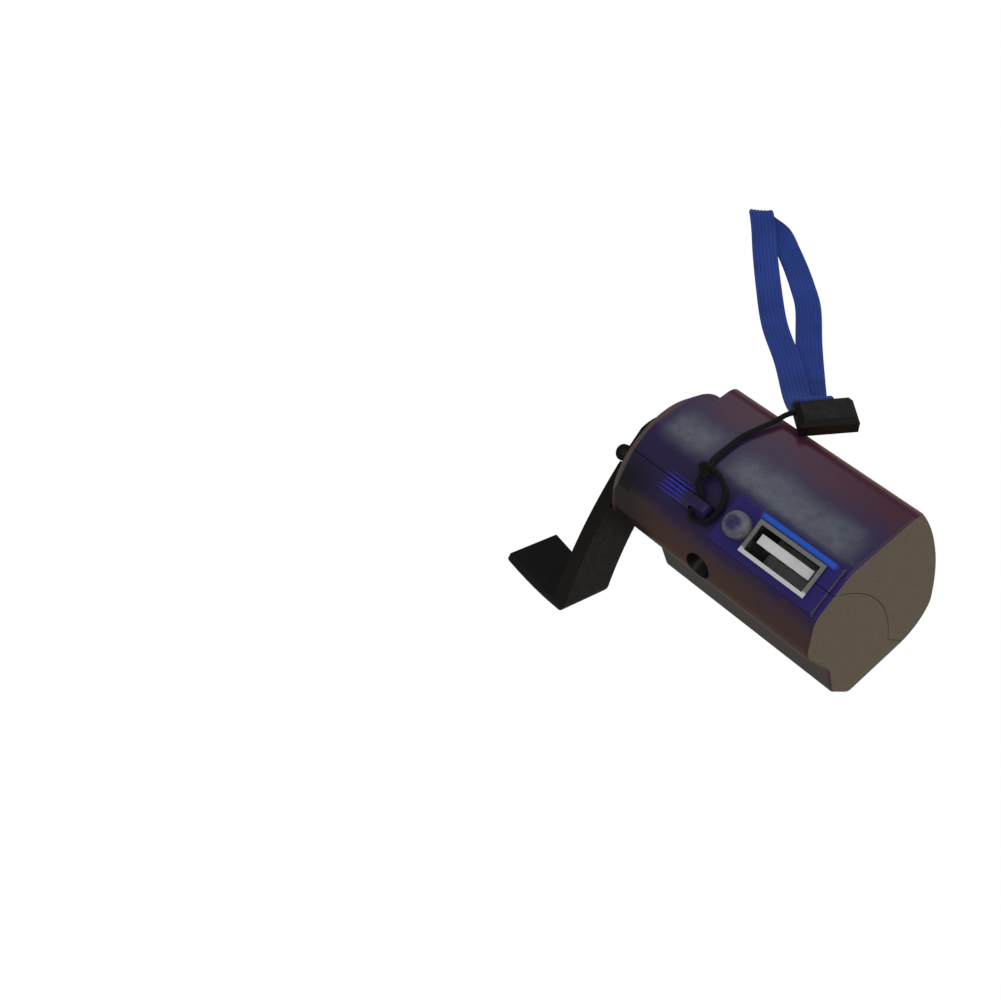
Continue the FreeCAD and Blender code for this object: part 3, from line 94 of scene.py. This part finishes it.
class Graph:
    """A small helper around one material's nodes."""

    def __init__(self, name):
        self.mat = bpy.data.materials.new(name)
        self.mat.use_nodes = True
        self.tree = self.mat.node_tree
        self.tree.nodes.clear()
        self.out = self.add("ShaderNodeOutputMaterial")
        self.bsdf = self.add("ShaderNodeBsdfPrincipled")
        self.link(self.bsdf.outputs["BSDF"], self.out.inputs["Surface"])

    def add(self, kind, **props):
        node = self.tree.nodes.new(kind)
        for key, value in props.items():
            setattr(node, key, value)
        return node

    def link(self, a, b):
        self.tree.links.new(a, b)

    def set(self, **values):
        for key, value in values.items():
            self.bsdf.inputs[key.replace("_", " ")].default_value = value

    def colour(self, value):
        self.link(value, self.bsdf.inputs["Base Color"])

    def roughness(self, noise, low, high):
        """Uneven gloss, between two roughnesses."""
        self.link(self.span(noise, *NOISE_CORE, low, high), self.bsdf.inputs["Roughness"])

    def coords(self, scale=(1.0, 1.0, 1.0), kind="Object"):
        tex = self.add("ShaderNodeTexCoord")
        mapping = self.add("ShaderNodeMapping")
        mapping.inputs["Scale"].default_value = scale
        self.link(tex.outputs[kind], mapping.inputs["Vector"])
        return mapping.outputs["Vector"]

    def axes(self, vector):
        """The three numbers of a vector, apart."""
        node = self.add("ShaderNodeSeparateXYZ")
        self.link(vector, node.inputs[0])
        return node.outputs

    def housing_coords(self):
        """Texture coordinates node, place in the housing frame in millimetres, and its axes."""
        tex = self.add("ShaderNodeTexCoord")
        mapping = self.add("ShaderNodeMapping")
        mapping.inputs["Rotation"].default_value = (-LEAN, 0, 0)
        mapping.inputs["Location"].default_value = LEAN_TURN.transposed() @ SHIFT * -MM
        mapping.inputs["Scale"].default_value = (MM, MM, MM)
        self.link(tex.outputs["Object"], mapping.inputs["Vector"])
        where = mapping.outputs["Vector"]
        return tex, where, self.axes(where)

    def noise(self, vector, scale, detail=4.0, rough=0.5, distortion=0.0):
        node = self.add("ShaderNodeTexNoise")
        node.inputs["Scale"].default_value = scale
        node.inputs["Detail"].default_value = detail
        node.inputs["Roughness"].default_value = rough
        node.inputs["Distortion"].default_value = distortion
        self.link(vector, node.inputs["Vector"])
        return node.outputs["Fac"]

    def wave(self, vector, direction, scale, distortion):
        """Even bands along one way, a little bent."""
        node = self.add("ShaderNodeTexWave", bands_direction=direction)
        node.inputs["Scale"].default_value = scale
        node.inputs["Distortion"].default_value = distortion
        self.link(vector, node.inputs["Vector"])
        return node.outputs["Fac"]

    def span(self, value, low, high, to_low=0.0, to_high=1.0):
        """A soft step from to_low at low to to_high at high."""
        node = self.add("ShaderNodeMapRange", interpolation_type="SMOOTHSTEP")
        sockets = ("From Min", "From Max", "To Min", "To Max")
        for key, number in zip(sockets, (low, high, to_low, to_high)):
            node.inputs[key].default_value = number
        self.link(value, node.inputs["Value"])
        return node.outputs["Result"]

    def window(self, value, rise, fall):
        """One between two soft steps, nothing outside them."""
        return self.times(self.span(value, *rise), self.span(value, *fall))

    def math(self, operation, *values):
        node = self.add("ShaderNodeMath", operation=operation)
        for socket, value in zip(node.inputs, values):
            if isinstance(value, (int, float)):
                socket.default_value = value
            else:
                self.link(value, socket)
        return node.outputs[0]

    def times(self, first, *others):
        for other in others:
            first = self.math("MULTIPLY", first, other)
        return first

    def off(self, value, middle):
        """How far a coordinate lies from a middle line, to either side."""
        return self.math("ABSOLUTE", self.math("SUBTRACT", value, middle))

    def radius(self, a, b, centre):
        """How far two coordinates lie from a centre."""
        squares = [self.math("POWER", self.math("SUBTRACT", value, middle), 2.0)
                   for value, middle in zip((a, b), centre)]
        return self.math("SQRT", self.math("ADD", *squares))

    def mix(self, factor, a, b):
        node = self.add("ShaderNodeMix", data_type="RGBA")
        for socket, value in ((node.inputs[0], factor), (node.inputs[6], a), (node.inputs[7], b)):
            if isinstance(value, tuple):
                socket.default_value = value
            else:
                self.link(value, socket)
        return node.outputs[2]

    def bump(self, height, strength, distance):
        node = self.add("ShaderNodeBump")
        node.inputs["Strength"].default_value = strength
        node.inputs["Distance"].default_value = distance
        self.link(height, node.inputs["Height"])
        self.link(node.outputs["Normal"], self.bsdf.inputs["Normal"])


def shade(colour, factor):
    """A colour made darker or lighter."""
    return tuple(min(1.0, c * factor) for c in colour[:3]) + (1.0,)


def plastic(name, colour, roughness, grain=900.0, bump=0.15, drift=0.3, coat=0.0, depth=0.00006):
    """Moulded plastic: fine grain, slow colour drift and uneven gloss."""
    g = Graph(name)
    where = g.coords()
    slow = g.noise(where, 60.0, detail=3.0)
    fine = g.noise(where, grain, detail=6.0, rough=0.6)
    tone = g.mix(g.span(slow, *NOISE_CORE), shade(colour, 1 - drift), shade(colour, 1 + drift))
    g.colour(g.mix(g.span(fine, 0.35, 0.65, 0.0, 0.35), tone, colour))
    g.roughness(fine, roughness - 0.06, roughness + 0.08)
    g.set(Coat_Weight=coat, Coat_Roughness=0.12, IOR=PLASTIC_IOR)
    g.bump(fine, bump, depth)
    return g.mat


ALONG_X = (60.0, 900.0, 900.0)  # draws a texture out into lines along x


def metal(name, colour, roughness):
    """Drawn or machined metal with fine lines along one way and dull patches."""
    g = Graph(name)
    lines = g.noise(g.coords(ALONG_X), 1.0, rough=0.6)
    patches = g.noise(g.coords(), 120.0)
    g.colour(g.mix(g.span(patches, 0.35, 0.7), colour, shade(colour, 0.72)))
    g.roughness(lines, roughness - 0.07, roughness + 0.1)
    g.set(Metallic=1.0)
    g.bump(lines, strength=0.1, distance=0.00003)
    return g.mat


# Places on the housing, in its own millimetres.
COLOUR_DRIFT = 7.0  # how far, end to end, the borders between the shell's colours wander
# where the painted highlight on the roof lies, across and along the housing
PAINTED_HIGHLIGHT_Y = 8.4
PAINTED_HIGHLIGHT_STRETCHES = (((2.0, 5.0), (16.0, 10.0)), ((15.5, 21.0), (46.5, 42.0)))
LUG_X, LUG_Y = 13.0, -1.0
SOCKET_REAR_Y = 4.05
SOCKET_STRETCH = ((28.6, 29.6), (45.2, 44.2))
SCREW_WELL = (22.2, -6.8)
LAMP_CENTRE = (26.9, 0.0)


def painted_roof_highlight(g, where, x, y, drift):
    """Painted soft grey highlight along the roof, broken up by mottling and fainter where the cord
    crosses.
    """
    line = g.math("ADD", y, g.math("MULTIPLY", drift, 0.5))
    band = g.span(g.off(line, PAINTED_HIGHLIGHT_Y), 5.0, 0.6)
    stretches = g.math("MAXIMUM", *[g.window(x, *ends) for ends in PAINTED_HIGHLIGHT_STRETCHES])
    mottle = g.noise(where, 0.5, detail=5.0, rough=0.7)
    return g.times(band, stretches, g.span(mottle, 0.25, 0.7, 0.45, 0.9))


def crown_lights(g, tone, where, x, y, z):
    """Painted light gathered in the thin plastic of the lug and of the pad round socket and lamp."""
    near_crown = g.span(z, -1.2, 0.4)
    lug = g.times(g.span(g.off(x, LUG_X), 3.8, 1.8), g.span(g.off(y, LUG_Y), 2.6, 1.2))
    ribs = g.wave(where, "Y", scale=0.42, distortion=0.6)
    lit = g.mix(g.span(ribs, 0.35, 0.8), srgb(28, 18, 96), srgb(58, 56, 196))
    tone = g.mix(g.times(lug, near_crown), tone, lit)
    pad = g.times(g.span(g.off(y, 0.0), 6.4, 4.2), g.span(x, 21.5, 24.5))
    tone = g.mix(g.times(pad, near_crown, 0.85), tone, srgb(46, 34, 128))
    rim = g.times(g.span(g.off(y, SOCKET_REAR_Y), 0.75, 0.2), g.window(x, *SOCKET_STRETCH))
    return g.mix(g.times(rim, g.span(z, 0.2, 0.8)), tone, srgb(26, 100, 232))


def end_faces(g, tone, tex, where, x):
    """The grainy flat face of the plain end, its pale grey-tan a painted reflection set by the
    face's normal, and the rim of the crank end.
    """
    normal = g.axes(tex.outputs["Normal"])
    grain = g.noise(where, 2.4, detail=5.0, rough=0.7)
    # painted reflection: pale grey-tan on the plain end's flat face; the grain is the plastic's own
    face = g.mix(g.span(grain, *NOISE_CORE), srgb(108, 91, 70), srgb(140, 120, 92))
    flat = g.times(g.span(normal[0], 0.8, 0.97), g.span(x, 40.0, 46.0))
    tone = g.mix(flat, tone, face)
    return g.mix(g.span(x, 2.0, 0.9, 0.0, 0.75), tone, srgb(112, 76, 52))


def shell_material():
    """Deep violet translucent plastic: indigo on the roof, wine towards the rear, and umber below as
    painted shade.
    """
    g = Graph("purple_shell")
    tex, where, (x, y, z) = g.housing_coords()
    slow = g.noise(where, 0.11, rough=0.55, distortion=0.6)
    drift = g.math("MULTIPLY", g.math("SUBTRACT", slow, 0.5), COLOUR_DRIFT)
    soft_y = g.math("ADD", y, drift)
    soft_z = g.math("ADD", z, drift)
    tone = g.mix(g.span(soft_y, 10.0, 18.5), srgb(50, 34, 84), srgb(84, 34, 60))
    # painted highlight: a soft grey sheen laid along the roof
    tone = g.mix(painted_roof_highlight(g, where, x, y, drift), tone, srgb(104, 110, 118))
    # painted highlight: a tan line along the front and rear edges of the shell
    painted_edge_highlight = g.span(g.off(y, 0.0), 19.2, 20.6, 0.0, 0.95)
    tone = g.mix(painted_edge_highlight, tone, srgb(156, 118, 88))
    tone = g.mix(g.span(soft_y, -3.5, -10.0), tone, srgb(84, 48, 36))
    # painted shade: umber towards the underside of the shell
    tone = g.mix(g.span(soft_z, -16.0, -32.0), tone, srgb(62, 38, 26))
    # painted glints: blue light through the thin shell, in patches low down
    patches = g.span(g.noise(where, 0.16, detail=3.0, distortion=0.4), 0.56, 0.72)
    painted_glints = g.times(patches, g.span(z, -24.0, -40.0, 0.0, 0.75))
    tone = g.mix(painted_glints, tone, srgb(36, 24, 118))
    tone = crown_lights(g, tone, where, x, y, z)
    # painted shade: dark inside the screw well
    painted_well_shade = g.times(g.span(g.radius(x, z, SCREW_WELL), 2.75, 2.6), g.span(y, 0.0, -2.0))
    tone = g.mix(painted_well_shade, tone, srgb(30, 22, 20))
    # painted shade: dark corner at the front of the crank end, behind the crank
    painted_crank_shade = g.times(g.span(x, 13.0, 4.0), g.span(y, 3.0, -5.0), 0.85)
    tone = g.mix(painted_crank_shade, tone, srgb(26, 22, 28))
    g.colour(end_faces(g, tone, tex, where, x))
    fine = g.noise(where, 3.2, detail=6.0, rough=0.65)
    g.roughness(fine, 0.27, 0.37)
    g.set(IOR=PLASTIC_IOR, Coat_Weight=0.35, Coat_Roughness=0.22, Transmission_Weight=0.12)
    g.bump(fine, strength=0.10, distance=0.00008)
    return g.mat


def lens_material():
    """Clear dome, painted violet in its middle for the shell seen through it, with a painted pale
    highlight ring round its side.
    """
    g = Graph("clear_lens")
    _, where, (x, y, _) = g.housing_coords()
    cloud = g.noise(where, 0.9, detail=3.0)
    away = g.radius(x, y, LAMP_CENTRE)
    # painted: violet middle for the shell seen through, pale highlight ring round the side
    tone = g.mix(g.span(away, 0.9, 1.9), srgb(84, 80, 140), srgb(168, 168, 176))
    tone = g.mix(g.span(away, 2.3, 2.7), tone, srgb(108, 104, 122))
    g.colour(g.mix(g.span(cloud, 0.4, 0.7, 0.0, 0.5), tone, srgb(120, 120, 150)))
    g.roughness(cloud, 0.03, 0.1)
    g.set(Transmission_Weight=0.55, IOR=PLASTIC_IOR)
    g.bump(cloud, strength=0.05, distance=0.00003)
    return g.mat


def socket_material():
    """Plated sheet: grey at the socket's mouth with a painted white highlight on its front lip, dull
    and mottled down inside with painted shade.
    """
    g = Graph("plated_steel")
    _, where, (_, y, z) = g.housing_coords()
    speck = g.noise(where, 1.6, detail=5.0, rough=0.7)
    # painted highlight: white along the front lip of the mouth
    mouth = g.mix(g.span(y, -2.1, -2.7), srgb(150, 148, 146), srgb(255, 255, 255))
    # painted shade: darker down inside the socket, with mottling
    inside = g.mix(g.span(speck, 0.45, 0.65), srgb(52, 48, 43), srgb(104, 100, 94))
    g.colour(g.mix(g.span(z, 1.25, 1.6), inside, mouth))
    g.roughness(speck, 0.2, 0.4)
    g.set(Metallic=0.35)
    g.bump(speck, strength=0.1, distance=0.00005)
    return g.mat


RIBBON_RIBS = 7
WEFT_THREADS = 1900  # to the metre


def ribbon_material():
    """Woven strap: fine cross threads over the ribs, a soft sheen."""
    g = Graph("blue_ribbon")
    across, along, _ = g.axes(g.coords(kind="UV"))
    weft = g.math("SINE", g.math("MULTIPLY", along, 2 * math.pi * WEFT_THREADS))
    warp = g.math("SINE", g.math("MULTIPLY", across, 2 * math.pi * RIBBON_RIBS))
    slow = g.noise(g.coords(), 90.0)
    base = g.mix(g.span(slow, *NOISE_CORE), srgb(22, 58, 146), srgb(30, 72, 170))
    base = g.mix(g.span(warp, -1.0, -0.3, 0.6, 0.0), base, srgb(22, 26, 92))
    g.colour(g.mix(g.span(weft, 0.2, 1.0, 0.0, 0.08), base, srgb(60, 92, 180)))
    g.set(Roughness=0.7, Sheen_Weight=0.08, Sheen_Roughness=0.4, IOR=1.45)
    g.bump(weft, strength=0.12, distance=0.00004)
    return g.mat


def cord_material():
    """Black braid: slanting threads, nearly no sheen."""
    g = Graph("black_cord")
    threads = g.wave(g.coords(), "DIAGONAL", scale=900.0, distortion=2.0)
    g.colour(g.mix(threads, srgb(10, 9, 8), srgb(28, 24, 20)))
    g.set(Roughness=0.7, Sheen_Weight=0.04, Sheen_Roughness=0.5)
    g.bump(threads, strength=0.5, distance=0.00008)
    return g.mat


def board_material():
    """Green solder mask with paler lines between its fields."""
    g = Graph("board")
    cells = g.add("ShaderNodeTexVoronoi", feature="DISTANCE_TO_EDGE")
    cells.inputs["Scale"].default_value = 420.0
    g.link(g.coords(), cells.inputs["Vector"])
    edge = cells.outputs["Distance"]
    g.colour(g.mix(g.span(edge, 0.02, 0.06), srgb(48, 130, 84), srgb(14, 74, 46)))
    g.set(Roughness=0.3, IOR=PLASTIC_IOR)
    g.bump(edge, strength=0.2, distance=0.00005)
    return g.mat


def winding_material():
    """Enamelled copper wire, turn beside turn."""
    g = Graph("winding")
    wires = g.wave(g.coords(), "X", scale=700.0, distortion=1.0)
    g.colour(g.mix(wires, srgb(92, 40, 18), srgb(190, 104, 52)))
    g.set(Roughness=0.35, Metallic=0.8)
    g.bump(wires, strength=0.6, distance=0.0001)
    return g.mat


MATERIALS = {
    "purple_shell": shell_material(),
    "steel": metal("steel", srgb(112, 110, 108), 0.35),
    "inner_plastic": plastic("inner_plastic", srgb(52, 52, 62), 0.5),
    "gear_plastic": plastic("gear_plastic", srgb(222, 216, 200), 0.42),
    "brass": metal("brass", srgb(206, 170, 100), 0.32),
    "winding": winding_material(),
    "magnet": metal("magnet", srgb(84, 84, 90), 0.45),
    "plated_steel": socket_material(),
    "white_plastic": plastic("white_plastic", srgb(236, 235, 232), 0.35),
    "contact_brass": metal("contact_brass", srgb(220, 186, 110), 0.25),
    "board": board_material(),
    "black_plastic": plastic("black_plastic", srgb(24, 18, 13), 0.42, grain=700.0, bump=0.3,
                             drift=0.35, coat=0.05, depth=0.0001),
    "can_aluminium": metal("can_aluminium", srgb(120, 126, 170), 0.35),
    "lead_rubber": plastic("lead_rubber", srgb(150, 28, 24), 0.55),
    "clear_lens": lens_material(),
    "black_cord": cord_material(),
    "blue_ribbon": ribbon_material(),
}


def dress_nodes():
    """Gives every CAD node the material of its slot."""
    slots = {part["node"]: part["material_slot"] for part in frame["record"]["subparts"]}
    for name, node in frame["nodes"].items():
        for piece in [node] + list(node.children_recursive):
            if piece.type == "MESH":
                piece.data.materials.clear()
                piece.data.materials.append(MATERIALS[slots[name]])


# ---------------------------------------------------------------- cord, knot and ribbon

CORD_RADIUS = 0.0005
EYE = (18.3, 0.0, 1.5)
# The cord in millimetres: round the lug's end as steps from the eye in the housing frame, over the
# roof in the row frame, and into the clasp in the clasp's own frame.
CORD_LOOP = [(-2.3, 3.8, 0.1), (-2.6, 1.9, 0.0), (0.0, 0.9, 0.0), (0.0, -2.9, 0.0),
             (0.6, -3.7, 0.0), (2.5, -3.6, -0.1), (3.8, -2.0, -0.4), (4.0, 0.6, -0.5),
             (3.1, 3.2, -0.5), (1.0, 4.9, -0.3), (-1.6, 5.4, -0.2)]
CORD_ROOF = [(-8.4, -17.7, 49.1), (-8.6, -14.2, 48.8), (-8.7, -12.1, 48.7), (-8.6, -8.5, 48.7),
             (-7.8, -5.6, 48.7), (-6.9, -2.3, 48.8)]
CORD_TAIL = [(-6.5, 1.6, 0.0), (-5.3, 1.6, 0.0)]
KNOT_SHIFT = Vector((0.0001, 0.0006, 0.0003))
KNOT_POINTS = 18
KNOT_SIZE = 0.00046
KNOT_DEPTH = 1.2
CLASP = Vector((-0.001, 0.004598, 0.049317))
CLASP_TURN = Matrix.Rotation(math.radians(51.5), 3, "Z")


def clasp_point(x, y, z):
    """A point of the clasp's frame, in millimetres, as a place in the row frame in metres."""
    return CLASP + CLASP_TURN @ Vector((x / MM, y / MM, z / MM))


def mesh_object(name, bm, material, smooth=True):
    data = bpy.data.meshes.new(name)
    bmesh.ops.recalc_face_normals(bm, faces=bm.faces)
    bm.to_mesh(data)
    bm.free()
    for face in data.polygons:
        face.use_smooth = smooth
    data.materials.append(material)
    return place_object(name, data)


def round_line(name, points, cyclic=False):
    """A cord through the points, as a round curve."""
    data = bpy.data.curves.new(name, "CURVE")
    data.dimensions = "3D"
    data.bevel_depth = CORD_RADIUS
    data.bevel_resolution = 5
    data.resolution_u = 10
    data.use_fill_caps = True
    spline = data.splines.new("NURBS")
    spline.points.add(len(points) - 1)
    for slot, point in zip(spline.points, points):
        slot.co = (*point, 1.0)
    spline.use_cyclic_u = cyclic
    spline.order_u = 3
    spline.use_endpoint_u = not cyclic
    data.materials.append(MATERIALS["black_cord"])
    return place_object(name, data)


def knot_route(centre):
    """A closed trefoil, which is what an overhand knot looks like once it is drawn tight."""
    route = []
    for i in range(KNOT_POINTS):
        t = 2 * math.pi * i / KNOT_POINTS
        spot = Vector((math.sin(t) + 2 * math.sin(2 * t), math.cos(t) - 2 * math.cos(2 * t),
                       -KNOT_DEPTH * math.sin(3 * t)))
        route.append(centre + LEAN_TURN @ (spot * KNOT_SIZE))
    return route


def make_cord():
    """The lanyard cord from its knot at the lug to the clasp, and the knot itself."""
    points = [housing(EYE[0] + x, EYE[1] + y, EYE[2] + z) for x, y, z in CORD_LOOP]
    points += [Vector(p) / MM for p in CORD_ROOF]
    points += [clasp_point(*p) for p in CORD_TAIL]
    cord = round_line("cord_line", points)
    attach(cord, "housing")
    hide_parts("lanyard_cord")
    knot = round_line("cord_overhand_knot", knot_route(points[0] + KNOT_SHIFT), cyclic=True)
    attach(knot, "housing")
    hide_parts("cord_knot")


RIBBON_WIDTH = 0.0062
RIBBON_THICK = 0.001
RIBBON_STEPS = RIBBON_RIBS * 6  # across the ribbon
RIBBON_BOW = 0.00012
EDGE_SHARE = 1 / 40  # of the width, over which the ribbon thins to its edge
# The ribbon's middle line in millimetres: its ends in the clasp's frame, the rest in the row frame.
RIBBON_START = [(-0.9, 2.8, 0.25), (-0.9, 4.0, 0.25)]
RIBBON_RUN = [(-8.0, 9.5, 44.5), (-12.5, 16.0, 35.5), (-17.5, 23.5, 25.0), (-21.5, 29.0, 17.5),
              (-27.4, 34.9, 12.8), (-38.1, 45.2, 9.0), (-50.0, 55.0, 6.2), (-60.7, 65.6, 4.5),
              (-71.2, 76.5, 3.5), (-77.4, 83.2, 3.2), (-81.8, 87.6, 3.1), (-82.9, 88.9, 1.9),
              (-81.6, 88.4, 0.75), (-75.3, 87.2, 0.75), (-68.6, 82.8, 1.3), (-62.2, 78.2, 1.8),
              (-56.2, 73.4, 2.4), (-50.6, 68.4, 3.1), (-41.0, 56.8, 5.0), (-31.2, 45.2, 8.0),
              (-25.6, 38.5, 10.4), (-20.6, 31.8, 14.6), (-15.6, 24.6, 22.5), (-10.8, 17.6, 32.0),
              (-6.6, 11.4, 41.2)]
RIBBON_END = [(0.9, 3.9, -0.95), (0.9, 2.8, -0.95)]
RIBBON_CREASE = Vector((0.48, 0.877, 0.0))  # the way across the ribbon where it turns back
STEEP = 0.5  # level share of the ribbon's way, below which the crease's way across holds


def smooth_route(points, steps=6):
    """Points of an even curve through the given ones, a centripetal Catmull-Rom spline."""
    spots = [points[0] * 2 - points[1]] + points + [points[-1] * 2 - points[-2]]
    route = []
    for i in range(1, len(spots) - 2):
        a, b, c, d = spots[i - 1:i + 3]
        ta, tb, tc = [max((end - start).length, 1e-6) ** 0.5
                      for start, end in ((a, b), (b, c), (c, d))]
        m1 = (c - b) + tb * ((b - a) / ta - (c - a) / (ta + tb))
        m2 = (c - b) + tb * ((d - c) / tc - (d - b) / (tb + tc))
        for j in range(steps):
            u = j / steps
            route.append(b * (2 * u ** 3 - 3 * u ** 2 + 1) + m1 * (u ** 3 - 2 * u ** 2 + u)
                         + c * (-2 * u ** 3 + 3 * u ** 2) + m2 * (u ** 3 - u ** 2))
    route.append(points[-1])
    return route


def ribbon_section():
    """The ribbon's outline once round, as share of the width and height in metres."""
    outline = []
    for side in (1, -1):
        for j in range(RIBBON_STEPS + 1):
            u = j / RIBBON_STEPS if side > 0 else 1 - j / RIBBON_STEPS
            rib = abs(math.sin(math.pi * RIBBON_RIBS * u)) ** 0.7
            edge = min(1.0, min(u, 1 - u) / EDGE_SHARE)
            rise = side * RIBBON_THICK * (0.30 + 0.2 * rib) * (0.35 + 0.65 * edge)
            outline.append((u, rise - RIBBON_BOW * math.cos(math.pi * (u - 0.5))))
    return outline


def ribbon_rings(bm, route, section):
    """The ribbon's vertices: a ring for each point of the route, with the way travelled so far."""
    across = CLASP_TURN @ Vector((1, 0, 0))
    travelled = 0.0
    rings = []
    for i, spot in enumerate(route):
        way = (route[min(i + 1, len(route) - 1)] - route[max(i - 1, 0)]).normalized()
        if i:
            travelled += (spot - route[i - 1]).length
        level = Vector((-way.y, way.x, 0))
        if level.length < STEEP:
            across = RIBBON_CREASE
        else:
            level.normalize()
            across = level if level.dot(across) > 0 else -level
        over = way.cross(across).normalized()
        ring = [bm.verts.new(spot + across * RIBBON_WIDTH * (u - 0.5) + over * height)
                for u, height in section]
        rings.append((ring, travelled))
    return rings


def make_ribbon():
    """The wrist strap: one ribbed woven band, thinner at its two edges."""
    points = [clasp_point(*p) for p in RIBBON_START]
    points += [Vector(p) / MM for p in RIBBON_RUN]
    points += [clasp_point(*p) for p in RIBBON_END]
    bm = bmesh.new()
    layer = bm.loops.layers.uv.new("UVMap")
    section = ribbon_section()
    rings = ribbon_rings(bm, smooth_route(points), section)
    for (ring, start), (after, end) in zip(rings, rings[1:]):
        for k in range(len(ring)):
            n = (k + 1) % len(ring)
            face = bm.faces.new((ring[k], ring[n], after[n], after[k]))
            left, right = section[k][0], section[n][0]
            corners = ((left, start), (right, start), (right, end), (left, end))
            for loop, corner in zip(face.loops, corners):
                loop[layer].uv = corner
    bm.faces.new(rings[0][0])
    bm.faces.new(rings[-1][0][::-1])
    ribbon = mesh_object("woven_ribbon", bm, MATERIALS["blue_ribbon"])
    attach(ribbon, "housing")
    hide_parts("strap_ribbon")


# ---------------------------------------------------------------- room, light and camera

FLOOR_HALF = 3.0
FLOOR_COLOUR = srgb(150, 148, 144)
FLOOR_GLOW = 0.996  # share of plain white in the floor, where it is looked at
FLOOR_IN_GLOSS = ((1.0, 0.97, 0.92, 1), 0.16)
WHITE = ((1, 1, 1, 1), 1.0)
ROOM_LIGHT = ((0.95, 0.97, 1.0, 1), 0.62)
ROOM_IN_GLOSS = ((0.9, 0.95, 1.0, 1), 0.10)
LAMPS = (  # name, place, target, size, power in watts, colour
    ("window", (-0.30, 0.44, 0.66), (0.0, -0.010, 0.048), (0.10, 0.40), 0.14, (0.92, 0.97, 1.0)),
    ("front_fill", (0.55, -0.75, 0.55), (0, -0.02, 0.03), (0.8, 0.8), 0.8, (1.0, 0.96, 0.9)),
    ("side_fill", (0.7, 0.3, 0.35), (0.02, -0.01, 0.02), (0.6, 0.6), 0.5, (1.0, 0.97, 0.92)),
)
SENSOR_WIDTH = 36.0
LENS = 48.5075
CLIP_START, CLIP_END = 0.01, 20.0
CAMERA_PLACE = (0.088514, -0.143024, 0.227164)
CAMERA_RIGHT = Vector((0.67008, 0.74066, -0.04913))
CAMERA_BACK = Vector((0.50004, -0.40150, 0.76730))


def fresh_tree(owner, output):
    """An emptied node tree, the surface it ends in, and the kinds of ray that can reach it."""
    owner.use_nodes = True
    tree = owner.node_tree
    tree.nodes.clear()
    surface = tree.nodes.new(output).inputs["Surface"]
    return tree, surface, tree.nodes.new("ShaderNodeLightPath").outputs


def shader(tree, kind, colour, strength=None):
    node = tree.nodes.new(kind)
    node.inputs["Color"].default_value = colour
    if strength is not None:
        node.inputs["Strength"].default_value = strength
    return node.outputs[0]


def mix_shader(tree, share, first, second):
    node = tree.nodes.new("ShaderNodeMixShader")
    for source, socket in zip((share, first, second), node.inputs):
        tree.links.new(source, socket)
    return node.outputs[0]


def floor_material():
    """Pale: plain white where it is looked at, dim in gloss, and a touch of shadow shows on it."""
    mat = bpy.data.materials.new("pale_floor")
    tree, surface, ray = fresh_tree(mat, "ShaderNodeOutputMaterial")
    seen = tree.nodes.new("ShaderNodeMath")
    seen.operation = "MAXIMUM"
    tree.links.new(ray["Is Camera Ray"], seen.inputs[0])
    tree.links.new(ray["Is Transmission Ray"], seen.inputs[1])
    share = tree.nodes.new("ShaderNodeMath")
    share.operation = "MULTIPLY"
    share.inputs[1].default_value = FLOOR_GLOW
    tree.links.new(seen.outputs[0], share.inputs[0])
    matt = shader(tree, "ShaderNodeBsdfDiffuse", FLOOR_COLOUR)
    plain = mix_shader(tree, share.outputs[0], matt, shader(tree, "ShaderNodeEmission", *WHITE))
    dim = shader(tree, "ShaderNodeEmission", *FLOOR_IN_GLOSS)
    tree.links.new(mix_shader(tree, ray["Is Glossy Ray"], plain, dim), surface)
    return mat


def make_room():
    """A wide floor, and a world that is white to the camera, softer as light and dim in gloss."""
    bm = bmesh.new()
    bmesh.ops.create_grid(bm, x_segments=2, y_segments=2, size=FLOOR_HALF)
    floor = mesh_object("floor", bm, floor_material(), smooth=False)
    world = bpy.data.worlds.new("room")
    bpy.context.scene.world = world
    tree, surface, ray = fresh_tree(world, "ShaderNodeOutputWorld")
    light, gloss, white = [shader(tree, "ShaderNodeBackground", *look)
                           for look in (ROOM_LIGHT, ROOM_IN_GLOSS, WHITE)]
    unseen = mix_shader(tree, ray["Is Glossy Ray"], light, gloss)
    tree.links.new(mix_shader(tree, ray["Is Camera Ray"], unseen, white), surface)


def make_lights():
    """Three soft rectangles: a cool window at the rear, a warm fill in front and one at the side."""
    for name, place, target, size, power, colour in LAMPS:
        data = bpy.data.lights.new(name, "AREA")
        data.shape = "RECTANGLE"
        data.size, data.size_y = size
        data.energy = power
        data.color = colour
        lamp = place_object(name, data)
        lamp.rotation_mode = "QUATERNION"
        lamp.rotation_quaternion = (Vector(target) - Vector(place)).to_track_quat("-Z", "Y")
        lamp.location = place


def make_camera():
    """The photograph's own viewpoint and lens."""
    data = bpy.data.cameras.new("camera")
    data.sensor_fit = "HORIZONTAL"
    data.sensor_width = SENSOR_WIDTH
    data.lens = LENS
    data.clip_start = CLIP_START
    data.clip_end = CLIP_END
    camera = place_object("camera", data)
    back = CAMERA_BACK.normalized()
    up = back.cross(CAMERA_RIGHT).normalized()
    turn = Matrix((up.cross(back), up, back)).transposed().to_4x4()
    camera.matrix_world = Matrix.Translation(CAMERA_PLACE) @ turn
    bpy.context.scene.camera = camera


dress_nodes()
make_ribbon()
make_cord()
make_room()
make_lights()
make_camera()
bpy.context.scene.view_settings.view_transform = "Standard"
bpy.context.view_layer.update()
